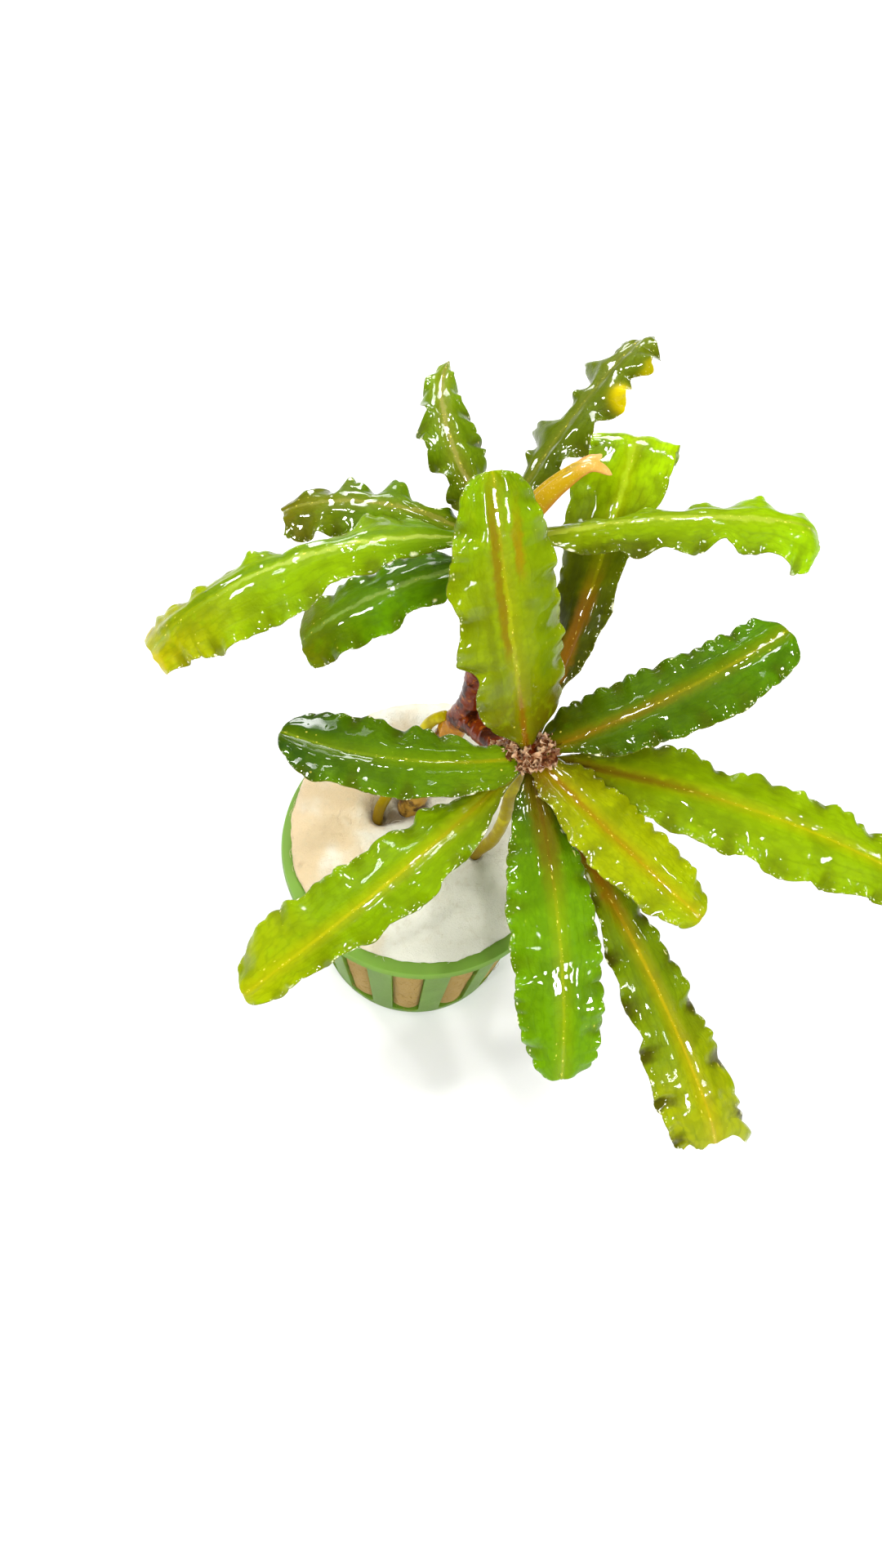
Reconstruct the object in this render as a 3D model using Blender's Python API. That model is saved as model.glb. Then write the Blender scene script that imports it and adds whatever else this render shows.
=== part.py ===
"""A bucephalandra: two leafy crowns on one rhizome, its foot in a wool plug in a slotted net pot.

Axes: +Z up, origin at the centre of the pot's flat base, millimetres below, metres in the scene.
"""

import math

import bmesh
import bpy
from mathutils import Vector
from mathutils.geometry import interpolate_bezier

MM = 0.001

# The gap between pieces
CLEAR = 0.3

# The angle above which an edge looks sharp
SHARP_DEGREES = 40
SHARP_LEAF_DEGREES = 60

# Net pot: a slotted cup with a turned-down rim
POT_HEIGHT = 42.0
POT_RIM_RADIUS = 25.0
POT_MOUTH_RADIUS = 23.4
POT_BASE_RADIUS = 18.7
POT_WALL = 0.9
POT_LIP = 1.7
SLOT_COUNT = 13
SLOT_SHARE = 0.56
SLOT_TURN = 14.0
SLOT_LOW, SLOT_HIGH = 3.0, 38.6
BASE_SLOT_INNER, BASE_SLOT_OUTER = 5.5, 15.5

# Wool plug: fills the pot, bulges over its rim and leans back over the far side
# Each ring of its top: radius, height, how far back it is shifted, and how steeply it tilts up to the back
PLUG_SIDES = 32
PLUG_SIDE_RADIUS = 21.9
PLUG_SIDE_TOP = 41.6
PLUG_TOP = [
    (22.1, 42.9, 1.0, 0.02),
    (21.9, 45.2, 3.3, 0.07),
    (19.2, 46.9, 3.7, 0.08),
    (12.0, 47.7, 3.0, 0.08),
    (5.0, 48.0, 2.5, 0.06),
]
PLUG_CENTRE_Z = 48.1

# Rhizome: one stem from the plug to the high crown, forked to the low crown
MAIN_ROUTE = [
    (-4.6, 7.0, 35),
    (-3.2, 6.6, 46),
    (-0.2, 8.2, 58),
    (2.8, 8.2, 69),
    (5.2, 8.4, 78),
    (5.6, 13.2, 89),
    (5.6, 19.4, 97),
    (5.8, 21.8, 100.8),
]
MAIN_RADII = [2.2, 2.2, 2.1, 2.1, 2.0, 2.0, 2.3, 2.9]
FORK_ROUTE = [(3.8, 7.6, 72.6), (6.6, 4.6, 75.2), (9.6, 1.2, 77.2), (13.0, -1.6, 79.2), (14.8, -2.8, 82.4)]
FORK_RADII = [1.7, 1.8, 1.9, 2.5, 3.3]
BETWEEN_CROWNS = 90.0
RHIZOME_SIDES = 10
RING_PITCH = 2.0
RING_HEIGHT = 0.16

# Leaf blade, the same for all leaves
LEAF_STATIONS = 20
LEAF_COLUMNS = (-1.0, -0.5, 0.0, 0.5, 1.0)
STALK_HALF_WIDTH = 0.75
STALK_THICKNESS = 1.3
STALK_ROUNDING = 0.8
RIB_THICKNESS = 1.0
BLADE_THICKNESS = 0.55
EDGE_THICKNESS = 0.4
STALK_BLEND = 3.0
SHOULDER_SHARE = 0.34
SHOULDER_POWER = 0.85
TIP_LEFT = 0.97
CURL_FROM = 0.84
SIDE_PHASE = 1.1
WAVE_START = 0.25
RIPPLE_SHARE, RIPPLE_RATE = 0.3, 1.7
SPINE_STEPS = 8
DROOP_AT_RIB = 0.4

# The share of the blade that each kind of tip takes, and how square it is
TIPS = {"long": (0.5, 1.6), "round": (0.3, 2.0), "medium": (0.2, 2.1), "blunt": (0.12, 2.4), "cut": (0.05, 2.6)}

# Each leaf: where it leaves its crown, its length and width, and how it turns from base to tip in degrees.
# heading is the angle round from +X, rise the angle above the horizon, curl an extra downturn at the tip,
# roll lifts the left edge, droop lets both edges hang, and ruffle is the height of the edge's waves.
# stalk is the bare length below the blade, shoulder the share of the blade over which it widens.
LEAVES = {
    "leaf_front": dict(base=(13.5, -2.1, 83.0), length=43, width=15.6, heading=(132, 112), rise=(72, 54),
                       stalk=2.5, droop=(12, 12), ruffle=0.8, waves=6.5, phase=0.4, shoulder=0.32),
    "leaf_right": dict(base=(15.0, -2.4, 81.2), length=41.5, width=12.6, heading=(10, 42), rise=(38, 6),
                       stalk=2.5, droop=(4, 4), ruffle=0.7, waves=6.5, phase=1.0),
    "leaf_far_right": dict(base=(14.8, -1.8, 78.8), length=68, width=12.4, heading=(-5, -13), rise=(8, -24),
                           stalk=5.0, droop=(4, 4), ruffle=1.0, waves=8.0, phase=2.0),
    "leaf_yellow": dict(base=(15.0, -3.0, 82.0), length=34, width=11.4, heading=(-46, -28), rise=(2, -22),
                        stalk=2.0, droop=(6, 6), ruffle=0.7, waves=6.0, phase=0.2),
    "leaf_low_right": dict(base=(14.7, -1.8, 77.6), length=67.5, width=11.4, heading=(-49, -53), rise=(-14, -42),
                           stalk=13.0, droop=(8, 8), ruffle=1.1, waves=8.0, phase=1.4, tip="cut", curl=15),
    "leaf_down": dict(base=(14.3, -2.6, 79.8), length=51, width=13.6, heading=(-72, -78), rise=(2, -62),
                      stalk=3.5, droop=(6, 6), ruffle=0.8, waves=6.5, phase=0.9, tip="medium"),
    "leaf_low_left": dict(base=(14.1, -2.0, 79.2), length=58, width=11.6, heading=(-125, -152), rise=(0, -46),
                          stalk=5.0, droop=(6, 6), ruffle=0.8, waves=7.0, phase=2.2),
    "leaf_left": dict(base=(14.2, -2.9, 81.2), length=38.0, width=11.6, heading=(-157, -202), rise=(10, -12),
                      stalk=2.5, droop=(4, 4), ruffle=0.7, waves=5.5, phase=0.0),
    "leaf_back": dict(base=(14.2, -1.2, 78.8), length=55, width=13.4, heading=(70, 83), rise=(38, 22),
                      stalk=6.0, droop=(6, 6), ruffle=0.8, waves=6.0, phase=1.8, tip="cut", curl=105,
                      roll=(-55, -2), shoulder=0.55),
    "leaf_high_left": dict(base=(5.5, 21.2, 97.8), length=34, width=9.6, heading=(-189, -180), rise=(34, -36),
                           stalk=3.0, droop=(22, 26), ruffle=1.2, waves=4.0, phase=0.6, tip="blunt", curl=50),
    "leaf_long_left": dict(base=(5.6, 20.4, 99.8), length=60, width=13.0, heading=(-158, -158), rise=(34, -60),
                           stalk=4.0, droop=(26, 30), ruffle=1.1, waves=7.0, phase=1.1, tip="cut", curl=20),
    "leaf_short_left": dict(base=(5.4, 20.0, 96.2), length=32, width=11.0, heading=(-160, -160), rise=(4, -48),
                            stalk=3.5, droop=(12, 12), ruffle=0.8, waves=5.0, phase=0.5, tip="blunt", curl=35),
    "leaf_top": dict(base=(5.6, 21.7, 100.0), length=33, width=8.6, heading=(146, 78), rise=(46, -22),
                     stalk=3.0, droop=(24, 24), ruffle=1.0, waves=5.5, phase=1.2, tip="long"),
    "leaf_top_right": dict(base=(5.4, 22.3, 99.2), length=38, width=9.4, heading=(54, 56), rise=(54, 4),
                           stalk=3.5, droop=(12, 12), ruffle=1.4, waves=4.5, phase=0.3, curl=55, roll=(-30, -38)),
    "leaf_high_right": dict(base=(6.0, 21.2, 98.4), length=49, width=10.6, heading=(4, 8), rise=(32, -16),
                            stalk=4.0, droop=(45, 22), ruffle=1.0, waves=6.0, phase=2.6, tip="blunt", curl=45,
                            roll=(-7, 6)),
}

# A young leaf, still rolled and hooked at its tip
YOUNG_ROUTE = [(6.0, 21.2, 100.8), (9.0, 21.6, 105.2), (12.6, 22.8, 110.8), (16.4, 23.8, 114.3), (19.6, 23.2, 113.8)]
YOUNG_RADII = [1.3, 1.6, 1.5, 1.05, 0.4]

# Two roots that reach down into the plug, one from the low crown and one from below the fork
FRONT_ROOT_ROUTE = [
    (13.6, -3.0, 79.6),
    (12.8, -4.7, 72),
    (12.6, -4.8, 64),
    (11.6, -4.3, 55),
    (9.4, -3.6, 47.6),
    (8.6, -3.2, 40),
]
FRONT_ROOT_RADIUS = 0.85
BACK_ROOT_ROUTE = [
    (1.8, 8.6, 71.5),
    (-1.3, 8.9, 67.5),
    (-3.8, 6.9, 59),
    (-6.6, 4.4, 51.5),
    (-8.2, 2.2, 47.5),
    (-8.6, 1.2, 40),
]
BACK_ROOT_RADIUS = 0.75
ROOT_SIDES = 6
ROOT_STEP = 3.0
YOUNG_SIDES = 8
YOUNG_STEP = 2.5
END_SHARE = 0.55

COLOURS = {
    "pot": ((0.10, 0.36, 0.14), 0.4),
    "plug": ((0.86, 0.82, 0.72), 0.95),
    "rhizome": ((0.30, 0.13, 0.05), 0.6),
    "leaf": ((0.22, 0.45, 0.02), 0.25),
    "young": ((0.85, 0.45, 0.12), 0.4),
    "root": ((0.58, 0.50, 0.05), 0.45),
}


def material(kind):
    """One Principled material for each kind of piece."""
    found = bpy.data.materials.get(kind)
    if found:
        return found
    made = bpy.data.materials.new(kind)
    made.use_nodes = True
    colour, roughness = COLOURS[kind]
    shader = made.node_tree.nodes["Principled BSDF"]
    shader.inputs["Base Color"].default_value = (*colour, 1.0)
    shader.inputs["Roughness"].default_value = roughness
    shader.inputs["Metallic"].default_value = 0.0
    return made


def finish(name, mesh_builder, kind, sharp_degrees=SHARP_DEGREES, turn_outwards=True):
    """Turns a bmesh in millimetres into a named, smooth-shaded object in metres."""
    bmesh.ops.scale(mesh_builder, vec=(MM, MM, MM), verts=mesh_builder.verts)
    if turn_outwards:
        bmesh.ops.recalc_face_normals(mesh_builder, faces=mesh_builder.faces)
    mesh = bpy.data.meshes.new(name)
    mesh_builder.to_mesh(mesh)
    mesh_builder.free()
    mesh.shade_smooth()
    mesh.set_sharp_from_angle(angle=math.radians(sharp_degrees))
    mesh.materials.append(material(kind))
    obj = bpy.data.objects.new(name, mesh)
    bpy.context.scene.collection.objects.link(obj)
    return obj


def helper(obj):
    """Marks an object that only cuts others."""
    obj.hide_render = True
    obj.display_type = "WIRE"
    return obj


def cut(obj, cutter):
    """Takes the cutter's shape out of the object."""
    modifier = obj.modifiers.new(f"clear of {cutter.name}", "BOOLEAN")
    modifier.object = cutter
    modifier.operation = "DIFFERENCE"


def smooth(t):
    t = min(max(t, 0.0), 1.0)
    return t * t * (3 - 2 * t)


def mix(a, b, t):
    return a + (b - a) * t


def route_points(route, radii, spacing):
    """Points and radii a set spacing apart on a smooth curve through the route's own points."""
    knots = [Vector(p) for p in route]
    before = [knots[0] * 2 - knots[1], *knots, knots[-1] * 2 - knots[-2]]
    points, widths = [], []
    for i in range(len(knots) - 1):
        start, end = knots[i], knots[i + 1]
        out = start + (end - before[i]) / 6
        back = end - (before[i + 3] - start) / 6
        steps = max(2, round((end - start).length / spacing))
        run = interpolate_bezier(start, out, back, end, steps + 1)
        points += run[:-1]
        widths += [mix(radii[i], radii[i + 1], smooth(k / steps)) for k in range(steps)]
    return [*points, knots[-1]], [*widths, radii[-1]]


def loft(rings):
    """A closed solid through rings of equally many points, with flat ends."""
    mesh_builder = bmesh.new()
    rows = [[mesh_builder.verts.new(p) for p in ring] for ring in rings]
    count = len(rings[0])
    for lower, upper in zip(rows, rows[1:]):
        for k in range(count):
            after = (k + 1) % count
            mesh_builder.faces.new((lower[k], lower[after], upper[after], upper[k]))
    mesh_builder.faces.new(rows[0])
    mesh_builder.faces.new(rows[-1])
    bmesh.ops.triangulate(mesh_builder, faces=[f for f in mesh_builder.faces if len(f.verts) > 4])
    return mesh_builder


def tube_rings(points, radii, sides):
    """Rings round a curve, each square to it, carried along without twisting."""
    rings = []
    across = None
    for i, point in enumerate(points):
        ahead = points[min(i + 1, len(points) - 1)]
        behind = points[max(i - 1, 0)]
        along = (ahead - behind).normalized()
        if across is None:
            across = along.orthogonal().normalized()
        across = (across - along * across.dot(along)).normalized()
        other = along.cross(across)
        turns = [math.tau * k / sides for k in range(sides)]
        rings.append([point + (across * math.cos(a) + other * math.sin(a)) * radii[i] for a in turns])
    return rings


def rounded_end(points, radii, share=END_SHARE):
    """Adds a smaller last ring, so that a tube ends in a low dome."""
    along = (points[-1] - points[-2]).normalized()
    return [*points, points[-1] + along * radii[-1] * share], [*radii, radii[-1] * share]


def rhizome(name, route, radii, grow=0.0):
    """A ringed, knobby stem; grow makes a fatter copy that clears room round it."""
    points, widths = route_points(route, radii, RING_PITCH)
    ringed = [w + grow + RING_HEIGHT * (1 if i % 2 else -1) for i, w in enumerate(widths)]
    points, ringed = rounded_end(points, ringed)
    return finish(name, loft(tube_rings(points, ringed, RHIZOME_SIDES)), "rhizome")


def tube(name, route, radii, kind, sides=ROOT_SIDES, spacing=ROOT_STEP, grow=0.0):
    points, widths = route_points(route, radii, spacing)
    points, widths = rounded_end(points, [w + grow for w in widths])
    return finish(name, loft(tube_rings(points, widths, sides)), kind)


def leaf_spine(leaf, stations):
    """For each station: its share of the length, its place, its left side and its upper normal."""
    heading_0, heading_1 = leaf["heading"]
    rise_0, rise_1 = leaf["rise"]
    roll_0, roll_1 = leaf.get("roll", (0, 0))
    place = Vector(leaf["base"])
    steps = stations * SPINE_STEPS
    rows = []
    for i in range(steps + 1):
        s = i / steps
        heading = math.radians(mix(heading_0, heading_1, s))
        curl = leaf.get("curl", 0) * smooth((s - CURL_FROM) / (1 - CURL_FROM))
        rise = math.radians(mix(rise_0, rise_1, s) - curl)
        along = Vector((math.cos(heading) * math.cos(rise), math.sin(heading) * math.cos(rise), math.sin(rise)))
        level = Vector((-math.sin(heading), math.cos(heading), 0.0))
        upright = along.cross(level)
        roll = math.radians(mix(roll_0, roll_1, s))
        left = level * math.cos(roll) + upright * math.sin(roll)
        if i % SPINE_STEPS == 0:
            rows.append((s, place.copy(), left, along.cross(left)))
        place = place + along * (leaf["length"] / steps)
    return rows


def blade_half_width(leaf, s):
    """Half the blade's width at a share of the length: a narrow stalk, a shoulder, and a round or blunt tip."""
    stalk_share = leaf["stalk"] / leaf["length"]
    t = (s - stalk_share) / (1 - stalk_share)
    if t <= 0:
        return STALK_HALF_WIDTH
    widening = min(t / leaf.get("shoulder", SHOULDER_SHARE), 1.0)
    shoulder = math.sin(widening * math.pi / 2) ** SHOULDER_POWER
    tip_share, power = TIPS[leaf.get("tip", "round")]
    past = max((t - (1 - tip_share)) / tip_share, 0.0)
    tip = (1 - min(past, TIP_LEFT) ** power) ** (1 / power)
    return max(STALK_HALF_WIDTH, leaf["width"] / 2 * shoulder * tip)


def edge_wave(leaf, s, side):
    """Height of the ruffled edge above the blade at a share of the length, on one side."""
    turn = math.tau * leaf["waves"] * s + leaf["phase"] + side * SIDE_PHASE
    ripple = RIPPLE_SHARE * math.sin(RIPPLE_RATE * turn + 1.0)
    return leaf["ruffle"] * smooth(s / WAVE_START) * (math.sin(turn) + ripple)


def leaf_ring(leaf, row):
    """The closed outline of the blade's cross-section at one station."""
    s, place, left, normal = row
    half = blade_half_width(leaf, s)
    stalky = 1 - smooth((half - STALK_HALF_WIDTH) / STALK_BLEND)
    droop = math.radians(mix(*leaf["droop"], s)) * (1 - stalky)
    upper, lower = [], []
    for v in LEAF_COLUMNS:
        side = 1 if v > 0 else -1
        slope = droop * mix(DROOP_AT_RIB, 1.0, abs(v))
        lift = edge_wave(leaf, s, side) * v * v * (1 - stalky) - abs(v) * half * math.sin(slope)
        flat = mix(BLADE_THICKNESS, EDGE_THICKNESS, v * v) if v else RIB_THICKNESS
        round_stalk = STALK_THICKNESS * math.sqrt(1 - STALK_ROUNDING * v * v)
        thickness = mix(flat, round_stalk, stalky)
        middle = place + left * (v * half * math.cos(slope)) + normal * lift
        upper.append(middle + normal * thickness / 2)
        lower.append(middle - normal * thickness / 2)
    return [*upper, *reversed(lower)]


def leaf_solid(name, leaf):
    rows = leaf_spine(leaf, LEAF_STATIONS)
    return finish(name, loft([leaf_ring(leaf, row) for row in rows]), "leaf", sharp_degrees=SHARP_LEAF_DEGREES)


def pot_profile():
    """Radius and height of each row of the pot's outer skin, and the rows above which slots are open."""
    def wall_radius(z):
        return mix(POT_BASE_RADIUS, POT_MOUTH_RADIUS, z / POT_HEIGHT)

    lip_radius = POT_RIM_RADIUS - POT_WALL
    under_rim = POT_HEIGHT - POT_WALL
    rows = [
        (BASE_SLOT_INNER, 0.0),
        (BASE_SLOT_OUTER, 0.0),
        (POT_BASE_RADIUS, 0.0),
        (wall_radius(SLOT_LOW), SLOT_LOW),
        (wall_radius(SLOT_HIGH), SLOT_HIGH),
        (POT_MOUTH_RADIUS, under_rim),
        (lip_radius, under_rim),
        (lip_radius, POT_HEIGHT - POT_LIP),
    ]
    return rows, {0, 3}


def ring_of(radius, z, turns, back=0.0, tilt=0.0):
    """Points round a circle, shifted towards the back and tilted up to it."""
    return [(radius * math.cos(a), back + radius * math.sin(a), z + tilt * radius * math.sin(a)) for a in turns]


def pot():
    """The slotted cup, as its outer skin thickened inwards."""
    mesh_builder = bmesh.new()
    profile, open_rows = pot_profile()
    pitch = math.tau / SLOT_COUNT
    turns = []
    for k in range(SLOT_COUNT):
        start = math.radians(SLOT_TURN) + k * pitch
        turns += [start, start + SLOT_SHARE * pitch]
    rows = [[mesh_builder.verts.new(p) for p in ring_of(radius, z, turns)] for radius, z in profile]
    centre = mesh_builder.verts.new((0, 0, 0))
    count = len(turns)
    for k in range(count):
        mesh_builder.faces.new((centre, rows[0][(k + 1) % count], rows[0][k]))
    for i, (lower, upper) in enumerate(zip(rows, rows[1:])):
        for k in range(count):
            if i in open_rows and k % 2 == 0:
                continue
            after = (k + 1) % count
            mesh_builder.faces.new((lower[k], lower[after], upper[after], upper[k]))
    obj = finish("net_pot", mesh_builder, "pot", turn_outwards=False)
    thick = obj.modifiers.new("wall", "SOLIDIFY")
    thick.thickness = POT_WALL * MM
    thick.offset = -1.0
    thick.use_even_offset = True
    return obj


def plug():
    """The wool plug: it follows the pot's inside, then swells over the rim."""
    mesh_builder = bmesh.new()
    low = POT_WALL + CLEAR
    slope = (POT_MOUTH_RADIUS - POT_BASE_RADIUS) / POT_HEIGHT
    foot = PLUG_SIDE_RADIUS - slope * (PLUG_SIDE_TOP - low)
    turns = [math.tau * k / PLUG_SIDES for k in range(PLUG_SIDES)]
    rings = [ring_of(foot, low, turns), ring_of(PLUG_SIDE_RADIUS, PLUG_SIDE_TOP, turns)]
    rings += [ring_of(radius, z, turns, back, tilt) for radius, z, back, tilt in PLUG_TOP]
    rows = [[mesh_builder.verts.new(p) for p in ring] for ring in rings]
    top = mesh_builder.verts.new((0, PLUG_TOP[-1][2], PLUG_CENTRE_Z))
    for lower, upper in zip(rows, rows[1:]):
        for k in range(PLUG_SIDES):
            after = (k + 1) % PLUG_SIDES
            mesh_builder.faces.new((lower[k], lower[after], upper[after], upper[k]))
    for k in range(PLUG_SIDES):
        mesh_builder.faces.new((rows[-1][k], rows[-1][(k + 1) % PLUG_SIDES], top))
    bottom = mesh_builder.faces.new(rows[0])
    bmesh.ops.triangulate(mesh_builder, faces=[bottom])
    return finish("wool_plug", mesh_builder, "plug")


def main():
    for obj in list(bpy.data.objects):
        bpy.data.objects.remove(obj)

    pot()
    wool = plug()

    main_stem = rhizome("rhizome_main", MAIN_ROUTE, MAIN_RADII)
    fork = rhizome("rhizome_fork", FORK_ROUTE, FORK_RADII)
    round_main = helper(rhizome("room_for_main", MAIN_ROUTE, MAIN_RADII, grow=CLEAR))
    round_fork = helper(rhizome("room_for_fork", FORK_ROUTE, FORK_RADII, grow=CLEAR))
    cut(wool, round_main)
    cut(fork, round_main)

    for name, leaf in LEAVES.items():
        blade = leaf_solid(name, leaf)
        cut(blade, round_fork if leaf["base"][2] < BETWEEN_CROWNS else round_main)

    young = tube("young_leaf", YOUNG_ROUTE, YOUNG_RADII, "young", sides=YOUNG_SIDES, spacing=YOUNG_STEP)
    cut(young, round_main)
    roots = [
        ("root_front", FRONT_ROOT_ROUTE, FRONT_ROOT_RADIUS, round_fork),
        ("root_back", BACK_ROOT_ROUTE, BACK_ROOT_RADIUS, round_main),
    ]
    for name, route, radius, stem in roots:
        radii = [radius] * len(route)
        root = tube(name, route, radii, "root")
        room = helper(tube(f"room_for_{name}", route, radii, "root", grow=CLEAR))
        cut(wool, room)
        cut(root, stem)


main()
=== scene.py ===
"""Bucephalandra in a net pot: the finished look of the plant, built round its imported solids.

Lengths in the tables are millimetres in the part's frame, whose origin is the middle of the pot's underside.
"""
import math
import random

import bpy
import numpy as np
from bpy.props import FloatProperty, FloatVectorProperty, IntProperty, PointerProperty
from bpy.types import Operator, Panel, PropertyGroup
from mathutils import Matrix, Vector, noise


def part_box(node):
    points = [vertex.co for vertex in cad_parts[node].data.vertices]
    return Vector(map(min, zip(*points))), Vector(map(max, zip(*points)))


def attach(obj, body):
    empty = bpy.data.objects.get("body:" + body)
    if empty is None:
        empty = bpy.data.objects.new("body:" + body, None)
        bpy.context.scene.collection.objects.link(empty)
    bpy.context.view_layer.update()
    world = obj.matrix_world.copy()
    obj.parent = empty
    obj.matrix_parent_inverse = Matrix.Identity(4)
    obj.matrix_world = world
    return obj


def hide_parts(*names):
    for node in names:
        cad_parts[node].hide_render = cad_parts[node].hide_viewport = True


bl_info = {
    "name": "Bucephalandra in a net pot",
    "version": (1, 0, 0),
    "blender": (4, 5, 0),
    "location": "3D View > Sidebar > Plant",
    "description": "Builds a bucephalandra with wet wavy leaves in a slotted net pot",
    "category": "Add Mesh",
}

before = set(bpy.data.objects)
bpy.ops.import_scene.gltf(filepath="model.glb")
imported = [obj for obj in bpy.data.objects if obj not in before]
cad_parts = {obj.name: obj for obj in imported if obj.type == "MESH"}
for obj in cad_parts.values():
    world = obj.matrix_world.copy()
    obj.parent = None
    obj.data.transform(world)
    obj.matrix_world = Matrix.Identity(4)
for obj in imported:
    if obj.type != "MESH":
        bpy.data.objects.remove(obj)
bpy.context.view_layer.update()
POT_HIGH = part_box("net_pot")[1]

MM = 0.001

# Camera: the photograph's viewing angle, as its place and its right and up directions.
CAMERA_PLACE = (1.94, -89.75, 232.98)
CAMERA_RIGHT = (0.9925, 0.1076, 0.0572)
CAMERA_UP = (-0.1219, 0.8764, 0.4660)
CAMERA_LENS = 27.1875

# Lights: name, place and size in metres, and share of the power that the stage's settings give their kind.
SOFT_LIGHTS = [("Key", (0.42, -0.50, 0.62), 0.55, 1.0), ("Left", (-0.70, -0.20, 0.42), 0.40, 0.5),
               ("Back", (-0.24, 0.66, 0.34), 0.34, 0.5)]
# These are seen only where a wet face mirrors them.
MIRRORED_LIGHTS = [("back", (-0.22, 0.62, 0.46), 0.30, 1.0), ("top", (0.06, 0.30, 0.66), 0.11, 0.22),
                   ("upper left", (-0.34, 0.16, 0.62), 0.09, 0.25), ("left", (-0.46, 0.06, 0.45), 0.07, 0.32),
                   ("right", (0.51, 0.01, 0.44), 0.07, 0.14), ("front", (0.10, -0.54, 0.38), 0.06, 0.12),
                   ("front right", (0.37, -0.43, 0.29), 0.08, 0.45)]
# Small lights stand in a ring, at these angles above level in turn.
SMALL_LIGHT_LIFTS = (52, 70, 60)
SMALL_LIGHT_DISTANCE, SMALL_LIGHT_SIZE, SMALL_LIGHT_POWER = 0.7, 0.03, 0.7
LIGHTS_AIM = (0.01, 0.0, 0.08)
FLOOR_REACH, FLOOR_DROP = 3000.0, 0.05

# Pot: the slots start at this angle, and run between these heights and base radii.
SLOT_TURN = math.radians(14.0)
SLOT_LOW, SLOT_HIGH = 3.0, 38.6
BASE_SLOT = (5.5, 15.5)
CORNER = 0.9
FOOT_ROUND = 0.5
LIP_DROP, LIP_SPLAY = 1.7, 0.15
WALL_HEIGHTS = (1.6, SLOT_LOW, SLOT_LOW + CORNER, 12.0, 20.0, 29.0, SLOT_HIGH - CORNER, SLOT_HIGH, 39.8)
SLOT_COLUMNS, BAR_COLUMNS = 8, 6

# Wool: rings of the swollen top as radius, height, shift towards the back and tilt up to it.
WOOL_TOP = [(23.1, 42.5, 0.2, 0.01), (23.4, 43.9, 1.4, 0.05), (22.3, 45.5, 3.2, 0.1),
            (19.6, 46.9, 4.0, 0.11), (15.8, 47.5, 3.6, 0.1), (12.0, 47.8, 3.0, 0.08),
            (8.5, 48.0, 2.7, 0.07), (5.0, 48.1, 2.5, 0.06), (0.6, 48.2, 2.4, 0.05)]
WOOL_COLUMNS, WOOL_SIDE_ROWS, WOOL_TOP_ROWS = 312, 60, 63
# The wool fills the pot up to the first height, and above the second it swells freely.
WOOL_FILL, WOOL_FREE = 41.6, 41.2
WOOL_GAP = 0.12
WOOL_REACH = 23.0
# Its swellings: waves to a millimetre, and share of the lump height. Its hollows: x, y, reach and depth.
WOOL_SWELLS = ((0.16, 1.5), (0.45, 0.6), (1.3, 0.25))
WOOL_HOLES = [(-3.2, 5.6, 5.0, 4.6), (-8.0, 2.0, 3.0, 4.0), (-5.4, 2.6, 3.6, 1.5), (9.2, -3.5, 1.9, 1.5)]

# Stems and roots: the points that they follow, and their radii there.
MAIN_ROUTE = [(-4.0, 5.4, 35), (-2.7, 5.2, 46), (0.0, 7.5, 58), (2.8, 8.2, 69), (5.2, 8.4, 78),
              (5.6, 13.2, 89), (5.6, 19.4, 97), (5.8, 21.8, 100.8)]
MAIN_RADII = [2.2, 2.2, 2.1, 2.1, 2.0, 2.0, 2.3, 2.9]
FORK_ROUTE = [(3.8, 7.6, 72.6), (6.6, 4.6, 75.2), (9.6, 1.2, 77.2), (13.0, -1.6, 79.2), (14.8, -2.8, 82.4)]
FORK_RADII = [1.7, 1.8, 1.9, 2.5, 3.1]
FRONT_ROOT_ROUTE = [(13.6, -3.0, 79.6), (12.8, -4.7, 72), (12.6, -4.8, 64), (11.6, -4.3, 55),
                    (9.4, -3.6, 47.6), (8.6, -3.2, 40)]
BACK_ROOT_ROUTE = [(1.8, 8.6, 71.5), (-1.3, 8.9, 67.5), (-3.8, 6.9, 59), (-6.6, 4.4, 51.5),
                   (-8.2, 2.2, 47.5), (-8.6, 1.2, 40)]
FRONT_ROOT_RADIUS, BACK_ROOT_RADIUS = 1.05, 0.95
STEM_STATIONS = 120
YOUNG_ROUTE = [(6.0, 21.2, 100.8), (9.0, 21.6, 105.2), (12.6, 22.8, 110.8), (16.4, 23.8, 114.3),
               (19.6, 23.2, 113.8)]
YOUNG_RADII = [1.3, 1.6, 1.5, 1.05, 0.4]
YOUNG_ROWS, YOUNG_SIDES = 90, 36
YOUNG_FLAP = dict(
    base=(13.6, 23.4, 113.0), length=5.4, heading=(18, 40), rise=(38, -2), droop=(20, 35), stalked=False,
    left=(10, 13, 13, 12, 9), right=(9, 12, 11, 10, 8), cap=(1.4, 2.0), ruffle=0.15, waves=1.5, phase=0.5,
    scallop=0.08, spacing=1.3)

# Sheets as rows, columns, thickness and height of the rib: a papery scale, and the young leaf's flap.
SCALE_SHEET, FLAP_SHEET = (14, 8, 0.12, 0.05), (26, 11, 0.22, 0.05)
SCALE_SEED = 11

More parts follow.
